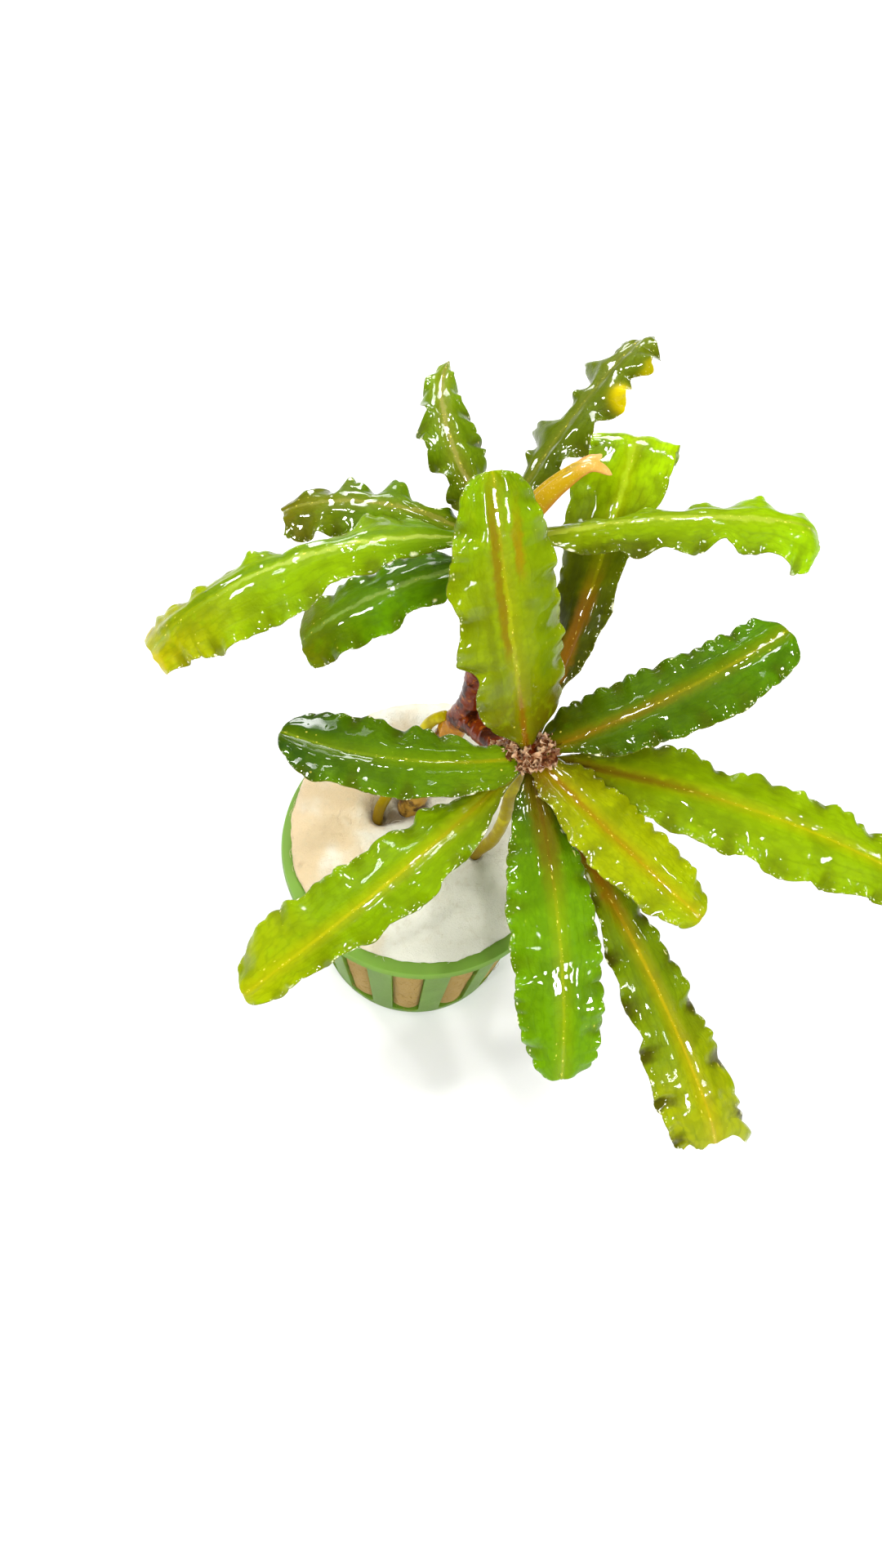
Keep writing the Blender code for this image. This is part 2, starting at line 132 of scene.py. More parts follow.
# Leaves. base, length, heading, rise, roll and droop set how each one lies, as on its solid. left and right
# are the blade's half widths in tenths of a millimetre, at even steps from the stalk's foot to the tip. cap
# is the length and squareness of the rounded end, and tip is how far a square end stands out or back across
# the blade. ruffle and waves are the height and number of the margin's waves, scallop and spacing the depth
# and pitch of its small lobes. crease is how much of the droop starts at the rib. aged lists yellowed spots:
# place along and across, reach along and across, and strength.
LEAVES = {}
LEAVES["leaf_front"] = dict(
    base=(13.5, -2.1, 83.0), length=43, heading=(132, 112), rise=(72, 54), droop=(12, 12),
    left=(9, 18, 40, 54, 61, 62, 60, 56, 79, 79, 72, 64, 72, 78, 71, 67, 62, 54, 50, 52, 52),
    right=(18, 72, 84, 86, 88, 90, 91, 91, 91, 89, 88, 86, 85, 84, 82, 78, 72, 65, 60, 58, 58),
    cap=(6.0, 2.2), ruffle=0.45, waves=6.5, phase=0.4, scallop=0.4, spacing=3.4)
LEAVES["leaf_right"] = dict(
    base=(15.0, -2.4, 81.2), length=41.5, heading=(10, 42), rise=(38, 6), droop=(4, 4),
    left=(9, 34, 52, 60, 62, 62, 62, 62, 62, 61, 60, 58, 56, 54, 52, 50, 49, 47, 46, 46, 46),
    right=(9, 10, 13, 20, 32, 43, 51, 55, 55, 56, 64, 61, 64, 68, 68, 64, 61, 58, 54, 54, 54),
    cap=(4.5, 2.2), ruffle=0.4, waves=6.5, phase=1.0, scallop=0.5, spacing=2.6)
LEAVES["leaf_far_right"] = dict(
    base=(14.8, -1.8, 78.8), length=68, heading=(-5, -13), rise=(8, -24), droop=(4, 4),
    left=(9, 11, 22, 36, 50, 64, 74, 68, 58, 52, 68, 62, 60, 62, 64, 52, 53, 55, 55, 54, 52),
    right=(9, 9, 14, 26, 49, 58, 64, 71, 77, 79, 76, 86, 88, 80, 78, 72, 62, 58, 56, 55, 54),
    cap=(6.0, 2.0), ruffle=0.6, waves=8.0, phase=2.0, scallop=0.6, spacing=3.0)
LEAVES["leaf_yellow"] = dict(
    base=(15.0, -3.0, 82.0), length=34, heading=(-46, -28), rise=(2, -22), droop=(6, 6),
    left=(9, 22, 34, 44, 54, 58, 55, 59, 67, 65, 60, 61, 63, 62, 62, 61, 58, 55, 49, 49, 49),
    right=(9, 20, 28, 35, 36, 38, 42, 48, 55, 49, 55, 57, 55, 49, 50, 51, 49, 42, 40, 39, 38),
    cap=(5.0, 2.2), ruffle=0.4, waves=6.0, phase=0.2, scallop=0.5, spacing=2.2)
LEAVES["leaf_low_right"] = dict(
    base=(14.7, -1.8, 77.6), length=67.5, heading=(-49, -53), rise=(-14, -42), droop=(8, 8), curl=15,
    left=(9, 9, 8, 9, 12, 18, 26, 33, 38, 43, 44, 50, 54, 48, 52, 57, 58, 58, 63, 69, 75),
    right=(9, 9, 8, 9, 11, 15, 21, 27, 36, 45, 48, 54, 57, 53, 63, 68, 72, 73, 72, 68, 64),
    cap=(0.8, 2.5), tip=(-1.2, -2.0, 0.2, -0.4, 0.8, 0.6, 1.2, 3.0, 6.2), ruffle=0.6, waves=8.0, phase=1.4,
    scallop=0.5, spacing=3.0)
LEAVES["leaf_down"] = dict(
    base=(14.3, -2.6, 79.8), length=51, heading=(-72, -78), rise=(2, -62), droop=(6, 6),
    left=(9, 9, 12, 19, 26, 35, 45, 50, 54, 56, 57, 61, 62, 59, 62, 62, 60, 59, 55, 51, 50),
    right=(9, 12, 28, 40, 47, 55, 62, 66, 70, 74, 70, 74, 70, 69, 71, 68, 65, 60, 50, 42, 40),
    cap=(4.5, 2.4), ruffle=0.4, waves=6.5, phase=0.9, scallop=0.5, spacing=2.6)
LEAVES["leaf_low_left"] = dict(
    base=(14.1, -2.0, 79.2), length=58, heading=(-125, -152), rise=(0, -46), droop=(6, 6),
    left=(9, 10, 13, 22, 33, 45, 48, 46, 58, 58, 54, 51, 54, 45, 42, 39, 36, 36, 35, 33, 32),
    right=(9, 10, 16, 22, 29, 43, 55, 49, 63, 64, 65, 70, 72, 78, 72, 83, 86, 83, 77, 76, 74),
    cap=(6.0, 2.2), ruffle=0.5, waves=7.0, phase=2.2, scallop=0.42, spacing=3.6)
LEAVES["leaf_left"] = dict(
    base=(14.2, -2.9, 81.2), length=38, heading=(-157, -202), rise=(10, -12), droop=(4, 4),
    left=(9, 22, 34, 44, 47, 50, 53, 55, 57, 59, 61, 61, 60, 53, 54, 56, 58, 52, 45, 40, 38),
    right=(9, 18, 27, 29, 30, 42, 49, 49, 58, 59, 55, 55, 64, 66, 68, 61, 61, 59, 58, 58, 58),
    cap=(5.5, 2.0), ruffle=0.35, waves=5.5, phase=0.0, scallop=0.36, spacing=3.0)
LEAVES["leaf_back"] = dict(
    base=(14.2, -1.2, 78.8), length=55, heading=(70, 83), rise=(38, 22), droop=(6, 6), curl=105,
    roll=(-55, -2),
    left=(9, 9, 12, 19, 25, 32, 39, 45, 52, 59, 65, 72, 79, 81, 81, 84, 78, 70, 68, 68, 66),
    right=(9, 9, 10, 13, 17, 26, 34, 41, 42, 40, 39, 37, 39, 44, 50, 58, 61, 62, 65, 69, 69),
    cap=(1.0, 2.5), tip=(2.4, 0.8, 0.0, 0.0, 0.0), ruffle=0.5, waves=6.0, phase=1.8, scallop=0.35,
    spacing=3.2)
LEAVES["leaf_high_left"] = dict(
    base=(5.5, 21.2, 97.8), length=34, heading=(-189, -180), rise=(34, -36), droop=(22, 12), curl=10,
    crease=1.0,
    left=(9, 9, 12, 16, 20, 24, 28, 30, 34, 38, 43, 48, 52, 50, 50, 52, 54, 56, 55, 54, 52),
    right=(9, 9, 16, 26, 32, 26, 18, 16, 28, 52, 63, 40, 36, 44, 56, 28, 39, 32, 24, 26, 28),
    cap=(0.6, 3.0), tip=(1.0, 0.8, 0.4, 0.0, -0.6, -1.0, -1.4, -1.6, -1.6), ruffle=0.8, waves=5.0, phase=0.6,
    scallop=0.6, spacing=3.2)
LEAVES["leaf_long_left"] = dict(
    base=(5.6, 20.4, 99.8), length=60, heading=(-158, -158), rise=(34, -60), droop=(28, 10), curl=2,
    crease=1.0,
    left=(9, 9, 13, 18, 24, 30, 36, 42, 46, 50, 66, 78, 76, 75, 77, 76, 70, 62, 57, 54, 52),
    right=(9, 11, 24, 39, 56, 74, 75, 44, 30, 20, 23, 36, 50, 40, 36, 36, 39, 44, 48, 52, 58),
    cap=(0.6, 3.0), tip=(0.0, -0.8, -1.6, -2.4, -3.0, -3.4, -3.8, -4.1, -4.2),
    aged=((1.0, 0.6, 0.025, 0.6, 0.5), (0.99, -1.0, 0.03, 0.3, 0.5)), ruffle=0.5, waves=7.0, phase=1.1,
    scallop=0.6, spacing=4.4)
LEAVES["leaf_short_left"] = dict(
    base=(5.4, 20.0, 96.2), length=32, heading=(-160, -160), rise=(4, -48), droop=(14, 14), curl=6,
    crease=1.0,
    left=(9, 9, 14, 23, 32, 41, 43, 43, 44, 47, 56, 63, 61, 60, 58, 58, 58, 58, 55, 53, 50),
    right=(9, 11, 22, 35, 46, 56, 64, 66, 59, 56, 54, 55, 58, 59, 60, 60, 56, 59, 65, 72, 76),
    cap=(0.8, 3.0), tip=(0.0, 0.0, 0.0), ruffle=0.5, waves=5.0, phase=0.5, scallop=0.45, spacing=2.8)
LEAVES["leaf_top"] = dict(
    base=(5.6, 21.7, 100.0), length=33, heading=(146, 78), rise=(46, -22), droop=(24, 24),
    left=(9, 9, 15, 24, 31, 35, 27, 31, 38, 39, 37, 45, 36, 32, 41, 44, 48, 50, 52, 52, 50),
    right=(9, 9, 15, 23, 31, 39, 47, 51, 53, 54, 55, 44, 47, 51, 41, 43, 47, 48, 50, 48, 45),
    cap=(14.0, 1.15), ruffle=1.1, waves=6.0, phase=1.2, scallop=0.75, spacing=2.9)
LEAVES["leaf_top_right"] = dict(
    base=(5.4, 22.3, 99.2), length=38, heading=(54, 56), rise=(54, 4), droop=(12, 12), curl=55,
    roll=(-30, -38),
    left=(9, 9, 11, 14, 19, 27, 32, 46, 84, 76, 38, 44, 34, 30, 44, 66, 74, 45, 30, 26, 24),
    right=(9, 9, 22, 36, 41, 39, 47, 40, 47, 48, 54, 46, 52, 66, 54, 32, 64, 56, 44, 28, 20),
    cap=(2.5, 2.2), tip=(-1.4, -1.6, -1.4, -1.2, -1.2),
    aged=((0.66, -1.0, 0.04, 0.4, 1.0), (0.8, -1.0, 0.025, 0.2, 0.5)), ruffle=1.1, waves=6.5, phase=0.3,
    scallop=0.75, spacing=3.0)
LEAVES["leaf_high_right"] = dict(
    base=(6.0, 21.2, 98.4), length=49, heading=(4, 8), rise=(32, -16), droop=(45, 22), curl=45, crease=0.85,
    roll=(-7, 6),
    left=(9, 9, 12, 17, 22, 27, 32, 38, 43, 48, 44, 38, 42, 45, 48, 60, 62, 40, 34, 34, 34),
    right=(9, 9, 14, 20, 26, 33, 40, 44, 47, 45, 44, 49, 44, 34, 45, 47, 44, 60, 64, 65, 52),
    cap=(1.5, 2.5), ruffle=0.8, waves=6.0, phase=2.6, scallop=0.5, spacing=3.4)

LOW_CROWN = ("leaf_front", "leaf_right", "leaf_far_right", "leaf_yellow", "leaf_low_right", "leaf_down",
             "leaf_low_left", "leaf_left", "leaf_back")
HIGH_CROWN = tuple(name for name in LEAVES if name not in LOW_CROWN)

# Leaf colours as red, green and blue out of 255: foot, blade, tip, rib at the foot and rib. The foot colour
# holds painted shade near the crown as well as the blade's own darker base. Then how strongly painted shade
# darkens the hollows of the waves.
LOOKS = {
    "leaf_front": ((104, 96, 2), (142, 162, 1), (132, 172, 3), (148, 96, 8), (170, 164, 2), 0.35),
    "leaf_right": ((66, 72, 1), (76, 108, 1), (84, 132, 1), (150, 104, 6), (150, 146, 4), 0.45),
    "leaf_far_right": ((88, 84, 1), (138, 168, 1), (144, 178, 2), (112, 72, 8), (190, 180, 6), 0.45),
    "leaf_yellow": ((110, 84, 2), (156, 168, 1), (158, 178, 2), (140, 84, 6), (196, 164, 6), 0.25),
    "leaf_low_right": ((132, 88, 10), (116, 140, 2), (170, 178, 3), (150, 92, 10), (206, 178, 10), 0.9),
    "leaf_down": ((40, 36, 1), (106, 152, 2), (112, 162, 2), (110, 70, 8), (164, 176, 10), 0.35),
    "leaf_low_left": ((92, 104, 2), (130, 164, 1), (170, 184, 2), (140, 124, 8), (200, 190, 10), 0.30),
    "leaf_left": ((110, 140, 2), (88, 124, 1), (42, 78, 1), (160, 150, 8), (126, 150, 4), 0.45),
    "leaf_back": ((60, 52, 2), (118, 132, 1), (196, 244, 2), (168, 96, 8), (200, 208, 4), 0.12),
    "leaf_high_left": ((90, 120, 4), (98, 130, 2), (108, 104, 8), (138, 136, 20), (134, 134, 16), 0.55),
    "leaf_long_left": ((84, 126, 4), (136, 170, 2), (180, 176, 2), (132, 146, 20), (140, 168, 8), 0.45),
    "leaf_short_left": ((92, 138, 2), (112, 164, 2), (120, 130, 2), (104, 140, 16), (122, 156, 12), 0.45),
    "leaf_top": ((82, 80, 5), (104, 132, 6), (132, 168, 24), (146, 112, 24), (142, 132, 34), 0.45),
    "leaf_top_right": ((84, 92, 4), (94, 112, 6), (112, 128, 8), (128, 122, 30), (130, 136, 40), 0.45),
    "leaf_high_right": ((128, 134, 6), (136, 168, 3), (160, 206, 3), (134, 128, 30), (140, 160, 14), 0.50),
}

# The leaf colours are read in the photo and dimmed by this, to look the same in the studio light.
STUDIO_GAIN = 0.77

# Stripes along some leaves, brown, dark or pale: how far left of the rib and half width in millimetres, from
# and to as shares of the leaf, colour, and strength. The pale lines along the ribs of leaf_long_left,
# leaf_short_left, leaf_high_right and leaf_back are painted highlights, and leaf_back's broad dark band is a
# painted shadow.
STRIPES = {
    "leaf_front": ((0.0, 0.5, -0.1, 0.3, (146, 96, 6), 0.9), (0.9, 0.6, 0.35, 1.05, (140, 104, 4), 0.75),
                   (0.0, 0.3, 0.2, 0.8, (180, 194, 4), 0.5), (-2.4, 0.6, 0.62, 0.98, (168, 120, 4), 0.75),
                   (3.0, 0.5, 0.2, 0.8, (104, 112, 2), 0.5), (-5.6, 1.8, 0.2, 0.9, (112, 140, 2), 0.6)),
    "leaf_right": ((0.0, 0.8, -0.1, 0.7, (120, 92, 4), 0.5),),
    "leaf_far_right": ((0.0, 0.7, -0.1, 0.5, (112, 84, 6), 0.7),),
    "leaf_yellow": ((0.0, 0.5, -0.1, 0.8, (144, 110, 2), 0.55),),
    "leaf_low_right": ((0.0, 1.0, -0.1, 0.5, (146, 84, 8), 0.9),),
    "leaf_down": ((0.0, 1.5, -0.1, 0.5, (100, 74, 6), 0.8),),
    # leaf_back: the broad dark band over its lower part is a painted shadow cast by leaf_high_right, and the
    # pale line on its upper rib is a painted highlight.
    "leaf_back": ((0.0, 9.0, -0.1, 0.66, (42, 44, 2), 0.85), (0.0, 1.2, -0.1, 0.6, (152, 100, 6), 0.95),
                  (0.2, 0.4, 0.55, 1.1, (196, 226, 40), 0.7)),
    "leaf_high_left": ((0.0, 0.3, -0.1, 1.1, (144, 146, 56), 0.7),),
    # The pale line along the rib is a painted highlight.
    "leaf_long_left": ((0.1, 0.3, -0.1, 0.8, (184, 204, 84), 0.8), (-1.2, 0.5, 0.2, 1.0, (92, 128, 4), 0.7)),
    # The pale line along the rib is a painted highlight.
    "leaf_short_left": ((0.0, 0.3, -0.1, 1.0, (168, 200, 90), 0.8),),
    "leaf_top": ((0.0, 0.3, -0.1, 1.0, (160, 160, 80), 0.6),),
    # The pale line along the rib is a painted highlight.
    "leaf_high_right": ((0.0, 0.35, 0.1, 1.0, (180, 198, 60), 0.7), (-3.8, 1.2, 0.2, 0.65, (76, 80, 6), 0.8)),
}

# How wet a whole blade is. The others have only the drops at their margins and ribs, and a few wet patches.
WET_BLADES = {"leaf_top": 0.45, "leaf_top_right": 0.5, "leaf_high_left": 0.35, "leaf_high_right": 0.3,
              "leaf_long_left": 0.3, "leaf_front": 0.25}
DRY_BLADE = 0.12

# Painted glints: pale flecks and drops that stand in for the light on the wet bumps, large to small: cells
# along the leaf, cells across a millimetre, and how few.
PAINTED_GLINTS = ((20.0, 0.8, 0.98), (48.0, 1.7, 0.88), (130.0, 4.2, 0.93))

LEAF_ROWS, LEAF_COLUMNS, LEAF_RIB = 216, 32, 0.45
SPINE_STEPS, SPINE_REACH = 680, 1.14
# Shares of a leaf where its end starts to curl, where its square end starts, and where its waves are full.
CURL_FROM, TIP_FROM, WAVES_FULL = 0.84, 0.72, 0.25
# How far the rounded end may close, on a leaf with a square end and on the others.
SQUARE_CLOSE, ROUND_CLOSE = 0.65, 0.985
# The share of its droop that a blade has at its rib already, and how far the waves of its two sides differ.
DROOP_AT_RIB, SIDE_PHASE = 0.4, 1.1
# Half width and radius of a stalk, and the further half width over which it turns into a blade.
STALK_HALF, STALK_RADIUS, STALK_TO_BLADE = 0.9, 0.62, 2.4
# Folds along the blade beside its rib: how far from it, how wide and how high. Then how humped each half is.
FOLD_ASIDE, FOLD_WIDTH, FOLD_HEIGHT, HUMP = 1.5, 0.8, 0.16, 0.045
# Half widths of the groove along a rib, of the fine ridge in the groove, and of the ridge below.
GROOVE_WIDTH, FINE_WIDTH, RIDGE_WIDTH = 0.5, 0.16, 0.6


def mix(a, b, share):
    return a + (b - a) * share


def smooth(share):
    share = np.clip(share, 0.0, 1.0)
    return share * share * (3.0 - 2.0 * share)


def hill(distance, width):
    """1 where the distance is 0, and soft slopes down to 0 at about twice the width."""
    return np.exp(-(distance / width) ** 2)


def dome(share, least):
    """A quarter circle's height at shares from its rim to its top. least is the least of its square."""
    return np.sqrt(np.clip(1.0 - (1.0 - np.clip(share, 0.0, 1.0)) ** 2, least, 1.0))


def paint(red, green, blue):
    """A colour given out of 255, as the light values that materials take."""
    parts = [c / 255 for c in (red, green, blue)]
    return tuple(c / 12.92 if c <= 0.04045 else ((c + 0.055) / 1.055) ** 2.4 for c in parts) + (1.0,)


def tone(colour, gain=1.0):
    """A leaf's colour in the studio light, times a gain."""
    red, green, blue, alpha = paint(*colour)
    return tuple(min(c * STUDIO_GAIN * gain, 0.95) for c in (red, green, blue)) + (alpha,)


def solid(colour, gain=1.0, lift=0.0):
    """A setting's colour with its alpha, made lighter or darker."""
    return tuple(min(c * gain + lift, 1.0) for c in colour) + (1.0,)


class Socket:
    """One output of a node. Python's operators on it add Math nodes."""

    def __init__(self, nodes, socket):
        self.nodes, self.socket = nodes, socket

    def math(self, operation, *others):
        return self.nodes.math(operation, self, *others)

    def __add__(self, other):
        return self.math("ADD", other)

    def __sub__(self, other):
        return self.math("SUBTRACT", other)

    def __mul__(self, other):
        return self.math("MULTIPLY", other)

    def __truediv__(self, other):
        return self.math("DIVIDE", other)

    def __pow__(self, other):
        return self.math("POWER", other)

    __radd__ = __add__

    def __rsub__(self, other):
        return self.nodes.math("SUBTRACT", other, self)

    def __rtruediv__(self, other):
        return self.nodes.math("DIVIDE", other, self)

    def __neg__(self):
        return self.math("MULTIPLY", -1.0)

    def __abs__(self):
        return self.math("ABSOLUTE")

    def other(self, name):
        """Another output of the same node."""
        return Socket(self.nodes, self.socket.node.outputs[name])


class Nodes:
    """Adds nodes to a tree: type, values or links of the sockets, which output is meant, and settings."""

    def __init__(self, tree):
        self.tree = tree

    def add(self, kind, inputs=None, output=0, **settings):
        node = self.tree.nodes.new(kind)
        for key, value in settings.items():
            setattr(node, key, value)
        for key, value in (inputs or {}).items():
            self.plug(node.inputs[key], value)
        return Socket(self, node.outputs[output])

    def plug(self, socket, value):
        if isinstance(value, Socket):
            self.tree.links.new(value.socket, socket)
        else:
            socket.default_value = value

    def math(self, operation, *values):
        return self.add("ShaderNodeMath", dict(enumerate(values)), operation=operation)


class GeometryTree(Nodes):
    """A Geometry Nodes tree with named inputs: geometry, values as type and default, and the finish."""

    def __init__(self, name, geometry, values, result):
        super().__init__(bpy.data.node_groups.new(name, "GeometryNodeTree"))
        interface = self.tree.interface
        interface.new_socket(name=geometry, in_out="INPUT", socket_type="NodeSocketGeometry")
        for label, (kind, value) in {**values, "Finish": ("Material", None)}.items():
            made = interface.new_socket(name=label, in_out="INPUT", socket_type="NodeSocket" + kind)
            if value is not None:
                made.default_value = value
        interface.new_socket(name=result, in_out="OUTPUT", socket_type="NodeSocketGeometry")
        group = self.tree.nodes.new("NodeGroupInput")
        self.given = {socket.name: Socket(self, socket) for socket in group.outputs if socket.name}

    def step(self, kind, inputs=None, output=0, **settings):
        return self.add("GeometryNode" + kind, inputs, output, **settings)

    def close(self, geometry):
        """Ends the tree: realizes the instances and sets the finish."""
        geometry = self.step("RealizeInstances", {"Geometry": geometry})
        geometry = self.step("SetMaterial", {"Geometry": geometry, "Material": self.given["Finish"]})
        self.plug(self.tree.nodes.new("NodeGroupOutput").inputs[0], geometry)
        return self.tree


class Finish(Nodes):
    """A material with one Principled shader, and the patterns that feed it."""

    def __init__(self, name, **constants):
        self.material = bpy.data.materials.new(name)
        self.material.use_nodes = True
        super().__init__(self.material.node_tree)
        self.tree.nodes.clear()
        self.shader = self.tree.nodes.new("ShaderNodeBsdfPrincipled")
        output = self.tree.nodes.new("ShaderNodeOutputMaterial")
        self.tree.links.new(self.shader.outputs[0], output.inputs["Surface"])
        self.put(**constants)
        self.place = self.add("ShaderNodeTexCoord", output="Object")

    def put(self, **values):
        """Sets the shader's sockets, and gives the finished material."""
        for key, value in values.items():
            self.plug(self.shader.inputs[key.replace("_", " ").title().replace("Ior", "IOR")], value)
        return self.material

    def glow(self, weight, reach, colour):
        """Light that spreads below the surface: how much, how many millimetres, and how far each colour."""
        self.put(subsurface_weight=weight, subsurface_scale=reach * MM, subsurface_radius=colour)

    def wet(self, weight, roughness, index=1.36):
        """A thin coat of water."""
        self.put(coat_weight=weight, coat_roughness=roughness, coat_ior=index)

    def skin(self, colour, roughness, height, depth, strength):
        """The colour, roughness and relief of the surface. Height 1 stands depth millimetres proud."""
        bump = self.add("ShaderNodeBump", {"Strength": strength, "Distance": depth * MM, "Height": height})
        return self.put(base_color=colour, roughness=roughness, normal=bump)

    def value(self, name):
        return self.add("ShaderNodeAttribute", None, "Fac", attribute_name=name)

    def coordinate(self, axis):
        """The place along x, y or z in millimetres."""
        return self.add("ShaderNodeSeparateXYZ", {0: self.place}, axis) / MM

    def cloud(self, size, detail=2.0, rough=0.5):
        """Soft noise whose lumps are about this many millimetres."""
        return self.add("ShaderNodeTexNoise", {"Vector": self.place, "Scale": 1.0 / (size * MM),
                                               "Detail": detail, "Roughness": rough})

    def cells(self, where, output="Distance"):
        return self.add("ShaderNodeTexVoronoi", {"Vector": where, "Scale": 1.0}, output)

    def point(self, x, y, z=0.0):
        return self.add("ShaderNodeCombineXYZ", {0: x, 1: y, 2: z})

    def rise(self, value, low, high):
        """0 below low and 1 above high, with a soft step between them."""
        return self.add("ShaderNodeMapRange", {"Value": value, "From Min": low, "From Max": high},
                        interpolation_type="SMOOTHSTEP")

    def fall(self, value, low, high):
        """1 below low and 0 above high."""
        return 1.0 - self.rise(value, low, high)

    def blend(self, share, a, b):
        return self.add("ShaderNodeMix", {0: share, 6: a, 7: b}, 2, data_type="RGBA")

    def layers(self, colour, *layers):
        """A ground colour with others laid over it, each as a share, and red, green and blue out of 255."""
        for share, over in layers:
            colour = self.blend(share, colour, paint(*over))
        return colour


def link_new(name, data):
    """A new object with this data, in the scene."""
    obj = bpy.data.objects.new(name, data)
    bpy.context.scene.collection.objects.link(obj)
    return obj


def modified(obj):
    """obj as a plain mesh with its modifiers worked out, in its place and with its name."""
    graph = bpy.context.evaluated_depsgraph_get()
    mesh = bpy.data.meshes.new_from_object(obj.evaluated_get(graph))
    name, source = obj.name, obj.data
    bpy.data.objects.remove(obj)
    if source.users == 0:
        bpy.data.meshes.remove(source)
    return link_new(name, mesh)


def piece(name, points, faces, finish=None):
    """A mesh object from points in millimetres."""
    mesh = bpy.data.meshes.new(name)
    mesh.from_pydata([tuple(p) for p in np.asarray(points, float) * MM], [], faces)
    if finish:
        mesh.materials.append(finish)
    mesh.shade_smooth()
    return link_new(name, mesh)


def keep(obj, slot, *nodes):
    """obj goes with the plant's one body, and stands for these nodes."""
    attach(obj, "root")
    if nodes:
        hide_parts(*nodes)


def attribute(obj, name, values):
    made = obj.data.attributes.new(name, "FLOAT", "POINT")
    made.data.foreach_set("value", np.asarray(values, np.float32).ravel())


def ring_faces(rows, columns):
    """Faces between rows of points that each close into a ring."""
    index = np.arange(rows * columns).reshape(rows, columns)
    after = np.roll(index, -1, axis=1)
    return np.stack([index[:-1], after[:-1], after[1:], index[1:]], -1).reshape(-1, 4).tolist()


def through(values, share):
    """A smooth curve through evenly spaced values, read at shares from 0 to 1."""
    knots = np.asarray(values, float)
    at = np.clip(share, 0.0, 1.0) * (len(knots) - 1)
    i = np.minimum(at.astype(int), len(knots) - 2)
    t = at - i
    padded = np.concatenate([knots[:1], knots, knots[-1:]])
    a, b, c, d = (padded[i + k] for k in range(4))
    square, cube = (2 * a - 5 * b + 4 * c - d) * t ** 2, (3 * b - a - 3 * c + d) * t ** 3
    return 0.5 * (2 * b + (c - a) * t + square + cube)


# Leaves

def leaf_spine(leaf):
    """Places, left directions and normals along a leaf's rib, from its foot to a little past its tip."""
    s = np.linspace(0.0, SPINE_REACH, SPINE_STEPS + 1)
    heading = np.radians(mix(*leaf["heading"], s))
    curl = leaf.get("curl", 0.0) * smooth((s - CURL_FROM) / (1.0 - CURL_FROM))
    rise = np.radians(mix(*leaf["rise"], s) - curl)
    roll = np.radians(mix(*leaf.get("roll", (0.0, 0.0)), s))[:, None]
    along = np.stack([np.cos(heading) * np.cos(rise), np.sin(heading) * np.cos(rise), np.sin(rise)], 1)
    level = np.stack([-np.sin(heading), np.cos(heading), 0 * s], 1)
    upright = np.cross(along, level)
    left = level * np.cos(roll) + upright * np.sin(roll)
    step = leaf["length"] * SPINE_REACH / SPINE_STEPS
    place = np.vstack([np.zeros(3), np.cumsum(along[:-1] * step, 0)]) + leaf["base"]
    return s, place, left, np.cross(along, left)


def spine_at(spine, s):
    """Place, left and normal at each s."""
    found = []
    for values in spine[1:]:
        found.append(np.stack([np.interp(s, spine[0], values[:, k]) for k in range(3)], -1))
    return found


def quilt(far, aside, seed):
    """Small soft bumps over a blade, in millimetres: waves laid across each other."""
    bumps = 0.0
    for k in range(7):
        way, pace = 2.4 * k + seed, 1.5 + 0.42 * k
        ahead = far * 0.8 * math.cos(way) + aside * math.sin(way)
        bumps = bumps + np.sin(pace * ahead + 3.1 * k * seed + k)
    return 0.009 * bumps


def half_widths(leaf, s, side):
    """Half widths with the margin's small lobes. Also how far the rounded end closes them, how far each
    place is blade rather than stalk, and the lobes' turn."""
    cap_length, cap_power = leaf["cap"]
    cap_from = 1.0 - cap_length / leaf["length"]
    close = SQUARE_CLOSE if leaf.get("tip") else ROUND_CLOSE
    past = np.clip((s - cap_from) / (1.0 - cap_from), 0.0, close)
    cap = (1.0 - past ** cap_power) ** (1.0 / cap_power)
    left, right = (through(np.array(leaf[key]) / 10, s) for key in ("left", "right"))
    half = np.where(side > 0, left, right)
    stalked = leaf.get("stalked", True)
    bladed = smooth((half - STALK_HALF) / STALK_TO_BLADE) if stalked else np.ones_like(half)
    far = s * leaf["length"]
    uneven = np.sin(far / 2.9 + leaf["phase"] + side) + 0.7 * np.sin(far / 1.7 + 2.0 * side)
    turn = math.pi * far / leaf["spacing"] + 0.6 * uneven + leaf["phase"] + side * 0.9
    lobes = (np.abs(np.sin(turn)) ** 0.55 - 0.7) * (0.8 + 0.35 * np.sin(far / 2.3 - side))
    return (half + leaf["scallop"] * lobes * bladed) * cap, cap, bladed, turn


def closed_sheet(upper, lower, middle, values):
    """Points and faces of two sheets that meet at their margins and ends, with each point's values."""
    rows, columns = middle.shape[:2]
    last = columns - 1
    below = slice(last - 1, 0, -1)
    points = np.concatenate([upper, lower[:, below]], 1)
    points[:, 0], points[:, last] = middle[:, 0], middle[:, last]
    table = {name: np.concatenate([grid, grid[:, below]], 1) for name, grid in values.items()}
    table["under"][:, columns:] = 1.0
    round_it = 2 * last
    faces = ring_faces(rows, round_it)
    for start, order in ((0, 1), ((rows - 1) * round_it, -1)):
        for j in range(last):
            strip = [start + k % round_it for k in (j, -j, -j - 1, j + 1)]
            faces.append(list(dict.fromkeys(strip))[::order])
    return points.reshape(-1, 3), faces, table


